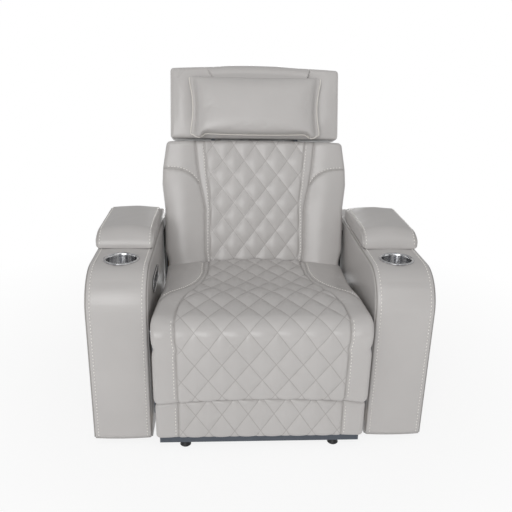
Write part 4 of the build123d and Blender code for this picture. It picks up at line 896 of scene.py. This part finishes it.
# Back: a quilted middle between two fuller wings. A narrow band with two seams runs down each
# side of the quilting, and an arched seam divides each wing.
BACK_LEAN = math.radians(16.5)
BACK_FOOT, BACK_TOP = 0.010, 0.489
BACK_REAR, BACK_FACE = 0.0195, -0.066
BACK_HALF = 0.309
BACK_RISE = 0.006
BACK_DIAMOND = 0.0735, 0.100
back_length = BACK_TOP - BACK_FOOT
back_depth = BACK_REAR - BACK_FACE
back_size = BACK_HALF, back_length, back_depth
back_phase = BACK_DIAMOND[1] / 2 + 0.012
back_pivot = next(Vector(joint["pos_m"]) for joint in frame["joints"] if joint["name"] == "back_hinge")
lean = Matrix.Translation(back_pivot) @ Matrix.Rotation(-BACK_LEAN, 4, "X")
quilted_back = leather("quilted_back_leather", BACK_DIAMOND)


def leaned(x, y, z):
    """Places drawn upright about the back's pivot, leaned back with it."""
    upright = np.stack([x, y, z, np.ones_like(x)], 1)
    return (upright @ np.array(lean.transposed()))[:, :3]


def back_place(x, s, t):
    """Sets the pad on the leaned back; its upper edge rises towards the middle."""
    top = np.clip((s - back_length + 0.06) / 0.06, 0, 1)
    return leaned(x, BACK_REAR - t, BACK_FOOT + s + BACK_RISE * top * (1 - (x / BACK_HALF) ** 2))


def back_width(s, t):
    """Half width: drawn in beside the brackets, its front close to the arms and widest above them."""
    heights = [0, 0.25, 0.5, 0.68, 0.8, 0.93, 1]
    rear = np.interp(s / back_length, heights, [0.309, 0.309, 0.320, 0.330, 0.328, 0.319, 0.314])
    front = np.maximum(rear, np.interp(s, [0.05, 0.09, 0.22, 0.26], [0.309, 0.319, 0.321, 0.309]))
    return rear + (front - rear) * np.clip((t - 0.042) / 0.015, 0, 1)


def back_line(points):
    """Line drawn in mm as (x, height above the back's pivot), as places on the back."""
    return smooth_line([(x / 1000, z / 1000 - BACK_FOOT) for x, z in points])


band_inner = back_line([(157, 0), (157, 70), (155, 190), (154, 300), (163, 400), (180, 500)])
band_outer = back_line([(172, 0), (172, 70), (171, 190), (174, 270), (186, 355), (201, 440), (211, 500)])
arch = back_line([(187, 340), (204, 363), (228, 380), (262, 390), (330, 394)])


def back_shape(x, s):
    """Quilted middle, narrow bands, full lower wings and flatter upper wings."""
    ax = abs(x)
    outer_x = x_along(band_outer, s)
    quilt = np.clip((x_along(band_inner, s) - ax) / QUILT_FADE, 0, 1)
    wing = np.clip((ax - outer_x) / QUILT_FADE, 0, 1)
    d_in, d_out, d_arch = (distance_to(ax, s, line) for line in (band_inner, band_outer, arch))
    arch_s = np.interp(ax, [p[0] for p in arch], [p[1] for p in arch])
    lower = np.clip((arch_s - s) / 0.01, 0, 1)
    rise = np.clip(s / back_length, 0, 1)
    plump = np.sin(math.pi * np.clip((ax - outer_x) / (BACK_HALF - outer_x + 0.012), 0, 1)) ** 0.7
    tall = np.sqrt(np.clip(1 - ((s - 0.16) / 0.26) ** 2, 0.05, 1))
    swell = wing * plump * (0.022 * lower * tall + 0.011 * (1 - lower))
    middle = 0.0064 * diamonds(x, s - back_phase, BACK_DIAMOND) * quilt
    middle = middle + 0.008 * np.sin(math.pi * rise) * (1 - (ax / 0.2) ** 2).clip(0)
    band = 0.003 * (1 - quilt) * (1 - wing)
    valley_in, valley_out = close_to(d_in, SEAM_REACH), close_to(d_out, 0.0030)
    valley_arch = close_to(d_arch, 0.0028) * (ax > outer_x - 0.004)
    lift = swell + middle + band - 0.003 * valley_in - 0.005 * valley_out - 0.004 * valley_arch
    lift = lift + wing * (pucker(d_out, s) + pucker(d_arch, ax))
    return lift, quilt, np.maximum(np.maximum(0.9 * valley_in, valley_out), valley_arch)


back = sewn_pad("back_cushion", "backrest", quilted_back, back_size, 0.013, FINE_STEP, back_shape,
                back_place, back_width, back_phase)
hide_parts("back_quilt_pad", "back_bolster_left", "back_bolster_right")
on_back = face_point(back_size, back_shape, back_place, back_width)
rows = []
for way in (1, -1):
    for line, out, up in ((band_inner, 0.006, 0.0), (arch, 0.0, 0.007)):
        path = np.array([p for p in line if 0.014 < p[1] < back_length - 0.012 and p[0] < BACK_HALF - 0.014])
        rows.append(on_back(way * (path[:, 0] + out), path[:, 1] + up))
topstitch("back_stitching", "backrest", *rows)

# Upper edge of the back: a dark sheet of the lining cloth under the headrest is painted shade, which darkens
# the gap under the headrest. It is stapled to the frame behind the leather's front roll.
EDGE_SHADE_SHEET_FRONT = BACK_FACE + 0.013
EDGE_SHADE_SHEET_SIZE = 0.262, BACK_REAR - EDGE_SHADE_SHEET_FRONT, 0.0008


def edge_shade_sheet_place(x, s, t):
    """Lays the cloth on the back's upper edge, which rises towards its middle."""
    rise = BACK_RISE * (1 - (x / BACK_HALF) ** 2)
    return leaned(x, EDGE_SHADE_SHEET_FRONT + s, BACK_TOP + rise + 0.0003 + t)


# Painted shade: the dark sheet on the back's upper edge, seen through the gap under the headrest.
edge_shade_sheet = sewn_pad("back_edge_shade_sheet", "backrest", lining_and_shade_cloth, EDGE_SHADE_SHEET_SIZE, 0.0003, 0.006, unformed,
                      edge_shade_sheet_place)

# Outside back: a padded leather panel that closes the back frame, wrapped round its sides above
# the hinge brackets. A slot in its upper edge lets the headrest's drive rod out.
COVER_FRONT, COVER_REAR = 0.021, 0.070
COVER_FOOT, COVER_TOP = 0.024, 0.480
COVER_HALF, COVER_WIDE = 0.315, 0.321
COVER_CROWN = 0.006
COVER_WALL = 0.006
ROD_SLOT = 0.042, 0.008, 0.036
cover_length = COVER_TOP - COVER_FOOT
cover_size = COVER_HALF, cover_length, COVER_REAR - COVER_FRONT


def cover_place(x, s, t):
    """Sets the panel behind the leaned back."""
    return leaned(x, COVER_FRONT + t, COVER_FOOT + s)


def cover_width(s, t):
    """Half width: narrow between the hinge brackets and wider above them."""
    return np.interp(s, [0, 0.128, 0.148, COVER_TOP], [COVER_HALF, COVER_HALF, COVER_WIDE, COVER_WIDE])


def cover_shape(x, s):
    """Soft crown over the whole panel."""
    swell = (1 - (x / (COVER_HALF + 0.001)) ** 2) * (1 - (2 * s / cover_length - 1) ** 2)
    return COVER_CROWN * swell.clip(0), 0 * x, 0 * x


def rod_slot(x, s, t):
    """Whether a place lies in the slot for the drive rod."""
    half, deep, behind = ROD_SLOT
    return (abs(x) < half) & (s > cover_length - deep) & (t < behind)


cover = sewn_pad("outside_back", "backrest", plain_leather, cover_size, 0.014, 0.010, cover_shape,
                 cover_place, cover_width, wall=COVER_WALL, opening=rod_slot)
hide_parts("back_outside_cover")

# Headrest: a boxed cushion on a board that tilts forwards, with a plain padded panel behind. Leather
# cords are sewn into the front edges at its sides, and into the back's sides below it.
HEAD_FOOT, HEAD_TOP = 0.501, 0.749
HEAD_REAR, HEAD_FACE = 0.0195, -0.056
HEAD_HALF = 0.301
HEAD_BACK_FRONT, HEAD_BACK_DEPTH = 0.0205, 0.0415
WELT, HEAD_WELT_IN, BACK_WELT_IN = 0.003, 0.0035, 0.0040
head_length = HEAD_TOP - HEAD_FOOT
head_depth = HEAD_REAR - HEAD_FACE


def head_place(x, s, t):
    """Sets the cushion on the leaned back; its top rises towards the middle."""
    crown = 0.009 * np.clip(s / head_length, 0, 1) ** 3 * (1 - (x / HEAD_HALF) ** 2)
    return leaned(x, HEAD_REAR - t, HEAD_FOOT + s + crown)


def head_shape(x, s):
    """Soft crown that is fuller towards the two ends, beside the pillow."""
    along_x, up = abs(x) / HEAD_HALF, s / head_length
    crown = 0.007 * (1 - along_x ** 6) * (1 - (2 * up - 1) ** 4)
    roll = 0.006 * close_to(along_x - 0.87, 0.09) * np.sin(math.pi * np.clip(up, 0, 1))
    return crown + roll, 0 * x, 0 * x


head = sewn_pad("headrest_pad", "headrest", plain_leather, (HEAD_HALF, head_length, head_depth), 0.011,
                0.005, head_shape, head_place)
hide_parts("headrest_cushion")


def head_back_place(x, s, t):
    """Sets the panel behind the headrest's board."""
    return leaned(x, HEAD_BACK_FRONT + t, HEAD_FOOT + s)


def head_back_shape(x, s):
    """Shallow crown."""
    return 0.003 * (1 - (x / HEAD_HALF) ** 2) * np.sin(math.pi * s / head_length), 0 * x, 0 * x


head_back = sewn_pad("headrest_back", "headrest", plain_leather, (HEAD_HALF, head_length, HEAD_BACK_DEPTH),
                     0.016, 0.008, head_back_shape, head_back_place)
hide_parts("headrest_rear_cover")
run = np.arange(0.012, head_length - 0.012, 0.006)
rise = np.arange(0.012, back_length - 0.016, 0.006)
for way, name in ((1, "right"), (-1, "left")):
    across = np.full(run.shape, way * (HEAD_HALF - HEAD_WELT_IN))
    edge = head_place(across, run, np.full(run.shape, head_depth - HEAD_WELT_IN))
    cord("headrest_welt_" + name, "headrest", edge, WELT, plain_leather)
    across = way * (back_width(rise, back_depth) - BACK_WELT_IN)
    edge = back_place(across, rise, np.full(rise.shape, back_depth - BACK_WELT_IN))
    cord("back_welt_" + name, "backrest", edge, WELT, plain_leather)

# Head pillow: a loose knife-edged pillow of two leather panels, welted in cream along its sides and
# foot. Its stuffing is blown up by cloth simulation, which draws its edges in between four corners.
PILLOW_HALF, PILLOW_TALL = 0.242, 0.230
PILLOW_MIDDLE = 0.606
PILLOW_SEAM, PILLOW_REST = -0.080, -0.0645
PILLOW_COLUMNS, PILLOW_ROWS = 70, 36
PILLOW_PRESSURE, PILLOW_FRAMES, PILLOW_CAP = 0.6, 12, 0.008
PILLOW_WELT = 0.0021


def stuff(piece, pressure, frames, cap):
    """Blows a sewn cover up as its stuffing does, by no more than a cap; gives its new places."""
    cloth = piece.modifiers.new("stuffing", "CLOTH")
    cloth.settings.mass = 0.02
    cloth.settings.use_pressure = True
    cloth.settings.uniform_pressure_force = pressure
    cloth.settings.effector_weights.gravity = 0.0
    cloth.collision_settings.use_collision = False
    for moment in range(1, frames + 1):
        bpy.context.scene.frame_set(moment)
    blown = piece.evaluated_get(bpy.context.evaluated_depsgraph_get())
    start = np.array([vert.co for vert in piece.data.vertices])
    move = np.array([vert.co for vert in blown.data.vertices]) - start
    piece.modifiers.remove(cloth)
    bpy.context.scene.frame_set(1)
    far = np.maximum(np.linalg.norm(move, axis=1), 1e-9)[:, None]
    return start + move / far * cap * np.tanh(far / cap)


def pillow_cut(u, v, way):
    """Place on the front or rear panel: a round body, and a thin rim with a lobe at each lower corner."""
    corner = (0.019 if v < 0 else 0.010) * (abs(u) * abs(v)) ** 7
    x = PILLOW_HALF * u * (1 - 0.085 * (1 - v * v) * abs(u) ** 3) - math.copysign(corner, u)
    lifted = (0.13 if v < 0 else 0.04) * max(0.0, 1 - (abs(u) / 0.83) ** 16)
    z = PILLOW_TALL / 2 * v * (1 - lifted) - math.copysign(corner, v)
    body = max(0.0, 1 - (abs(u) / 0.92) ** 9) ** 0.5 * (1 - abs(v) ** 3.4) ** 0.5
    fat = (0.040 - 0.005 * v) * body + 0.004 * (1 - u ** 8) * (1 - v ** 8) if way > 0 else 0.016 * body
    return x, -way * fat - 0.014 * min(v, 0.0) ** 2, z


bm = bmesh.new()
edge_layer = bm.verts.layers.float.new("rim")
for way in (1, -1):
    panel = bmesh.ops.create_grid(bm, x_segments=PILLOW_COLUMNS, y_segments=PILLOW_ROWS, size=1.0)["verts"]
    for vert in panel:
        vert[edge_layer] = max(abs(vert.co.x), abs(vert.co.y)) > 1 - 1e-5
        vert.co = pillow_cut(vert.co.x, vert.co.y, way)
bmesh.ops.remove_doubles(bm, verts=bm.verts, dist=1e-5)
bmesh.ops.recalc_face_normals(bm, faces=bm.faces)
soften(bm)
pillow = to_piece(bm, "head_pillow", "headrest", plain_leather)
cut = np.array([vert.co for vert in pillow.data.vertices])
on_rim = [value.value for value in pillow.data.attributes["rim"].data]
x, y, z = stuff(pillow, PILLOW_PRESSURE, PILLOW_FRAMES, PILLOW_CAP).T
placed = leaned(x, np.minimum(PILLOW_SEAM + y, PILLOW_REST), PILLOW_MIDDLE + z)
for vert, place in zip(pillow.data.vertices, placed):
    vert.co = place
smooth = pillow.modifiers.new("smooth", "SUBSURF")
smooth.levels = smooth.render_levels = 1
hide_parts("headrest_pillow")
rim = [i for i in range(len(cut)) if on_rim[i] > 0.5]
rim.sort(key=lambda i: math.atan2(cut[i, 2] / PILLOW_TALL, cut[i, 0] / PILLOW_HALF))
start = rim.index(max(rim, key=lambda i: cut[i, 0] + cut[i, 2]))
seam = [i for i in rim[start:] + rim[:start] if cut[i, 2] < 0.46 * PILLOW_TALL]
left = seam.index(max(seam, key=lambda i: cut[i, 2] - cut[i, 0]))
cream = leather("cream_leather", None, ("#dedad3", "#e8e5df"))
cord("pillow_welt", "headrest", placed[seam[left:] + seam[:left]], PILLOW_WELT, cream)

# Pillow flap: a plain strip of leather from the pillow's top, which lies over the headrest and
# holds the pillow. It widens towards the rear and hangs a little at its sides.
FLAP_HALF, FLAP_THICK = 0.160, 0.002
FLAP_SAG = 0.006
FLAP_WIDENS = 0.02, 0.09
FLAP_LEFT, FLAP_RIGHT = (-0.143, -0.185), (0.183, 0.204)
flap_path = np.array(smooth_line([
    (-0.086, 0.694), (-0.084, 0.706), (-0.077, 0.717), (-0.0690, 0.729), (-0.0665, 0.742), (-0.056, 0.755),
    (-0.040, 0.7605), (-0.010, 0.7620), (0.020, 0.7595), (0.036, 0.7520), (0.045, 0.7400),
], 48))
flap_run = np.concatenate([[0], np.cumsum(np.hypot(*np.diff(flap_path, axis=0).T))])


def on_flap_path(s):
    """Place on the flap's path, as depth and height on the leaned back."""
    return np.stack([np.interp(s, flap_run, flap_path[:, i]) for i in range(2)])


def flap_place(x, s, t):
    """Lays the flap along its path from the pillow over the headrest."""
    y, z = on_flap_path(s)
    dy, dz = on_flap_path(s + 0.002) - on_flap_path(s - 0.002)
    long = np.hypot(dy, dz)
    left, right = (np.interp(s, FLAP_WIDENS, side) for side in (FLAP_LEFT, FLAP_RIGHT))
    x = left + (x / FLAP_HALF + 1) / 2 * (right - left)
    sag = -FLAP_SAG * (x / FLAP_HALF) ** 2
    return leaned(x, y - t * dz / long, z + t * dy / long + sag)


flap = sewn_pad("pillow_flap", "headrest", plain_leather, (FLAP_HALF, flap_run[-1], FLAP_THICK), 0.001,
                0.005, unformed, flap_place)

# Setting: a plain pale floor under soft studio light from the front, and the camera where the
# photographer stood.
FLOOR_HALF = 8.0
floor_paint = bpy.data.materials.new("pale_floor")
floor_paint.use_nodes = True
tree = floor_paint.node_tree
tree.nodes.remove(tree.nodes["Principled BSDF"])
paint = add(tree, "ShaderNodeBsdfDiffuse", {"Color": linear("#fdfdfd")})
glow = add(tree, "ShaderNodeEmission", {"Color": (1, 1, 1, 1), "Strength": 1.0})
ray = add(tree, "ShaderNodeLightPath", {}, None)
seen = add(tree, "ShaderNodeMath", {0: ray["Is Camera Ray"], 1: ray["Is Glossy Ray"]}, operation="MAXIMUM")
spot = add(tree, "ShaderNodeTexCoord", {}, "Object")
reach = add(tree, "ShaderNodeVectorMath", {0: spot}, 1, operation="LENGTH")
fade = add(tree, "ShaderNodeMapRange", {0: reach, 1: 0.7, 2: 1.7, 3: 0.85, 4: 1.0})
share = add(tree, "ShaderNodeMath", {0: seen, 1: fade}, operation="MULTIPLY")
mixed = add(tree, "ShaderNodeMixShader", {0: share, 1: paint, 2: glow})
plug(tree, tree.nodes["Material Output"], {"Surface": mixed})
bm = bmesh.new()
bmesh.ops.create_grid(bm, x_segments=1, y_segments=1, size=FLOOR_HALF)
mesh = bpy.data.meshes.new("floor")
bm.to_mesh(mesh)
bm.free()
mesh.materials.append(floor_paint)
floor = new_object("floor", mesh)

world = bpy.data.worlds.new("studio")
bpy.context.scene.world = world
world.use_nodes = True
tree = world.node_tree
soft = tree.nodes["Background"]
plug(tree, soft, {"Color": (1.0, 1.0, 1.0, 1.0), "Strength": 0.45})
white = add(tree, "ShaderNodeBackground", {"Color": (1, 1, 1, 1), "Strength": 1.0})
ray = add(tree, "ShaderNodeLightPath", {}, None)
seen = add(tree, "ShaderNodeMath", {0: ray["Is Camera Ray"], 1: ray["Is Transmission Ray"]},
           operation="MAXIMUM")
mixed = add(tree, "ShaderNodeMixShader", {0: seen, 1: soft.outputs[0], 2: white})
plug(tree, tree.nodes["World Output"], {"Surface": mixed})

LIT_PLACE = Vector((0, 0, 0.5))
for name, place, size, watts in (
    ("front_panel", (-1.8, -6.2, 2.7), 3.3, 146.0),
    ("upper_panel", (0.3, -2.0, 2.9), 2.0, 9.0),
    ("rear_panel", (0.4, 5.8, 0.8), 1.6, 62.0),
):
    lamp = bpy.data.lights.new(name, "AREA")
    lamp.size = size
    lamp.energy = watts
    lit = new_object(name, lamp)
    lit.location = place
    lit.rotation_euler = (LIT_PLACE - Vector(place)).to_track_quat("-Z", "Y").to_euler()

YAW, PITCH, ROLL = (math.radians(angle) for angle in (3.5, 20.013, 1.272))
aim = Matrix.Rotation(-YAW, 4, "Z") @ Matrix.Rotation(math.pi / 2 - PITCH, 4, "X")
aim = aim @ Matrix.Rotation(ROLL, 4, "Z")
lens = bpy.data.cameras.new("camera")
lens.sensor_width = 36.0
lens.lens = 43.445
camera = new_object("camera", lens)
camera.matrix_world = Matrix.Translation((-0.1223, arm_front - 1.6171, 1.2067)) @ aim
bpy.context.scene.camera = camera
bpy.context.scene.view_settings.view_transform = "Standard"
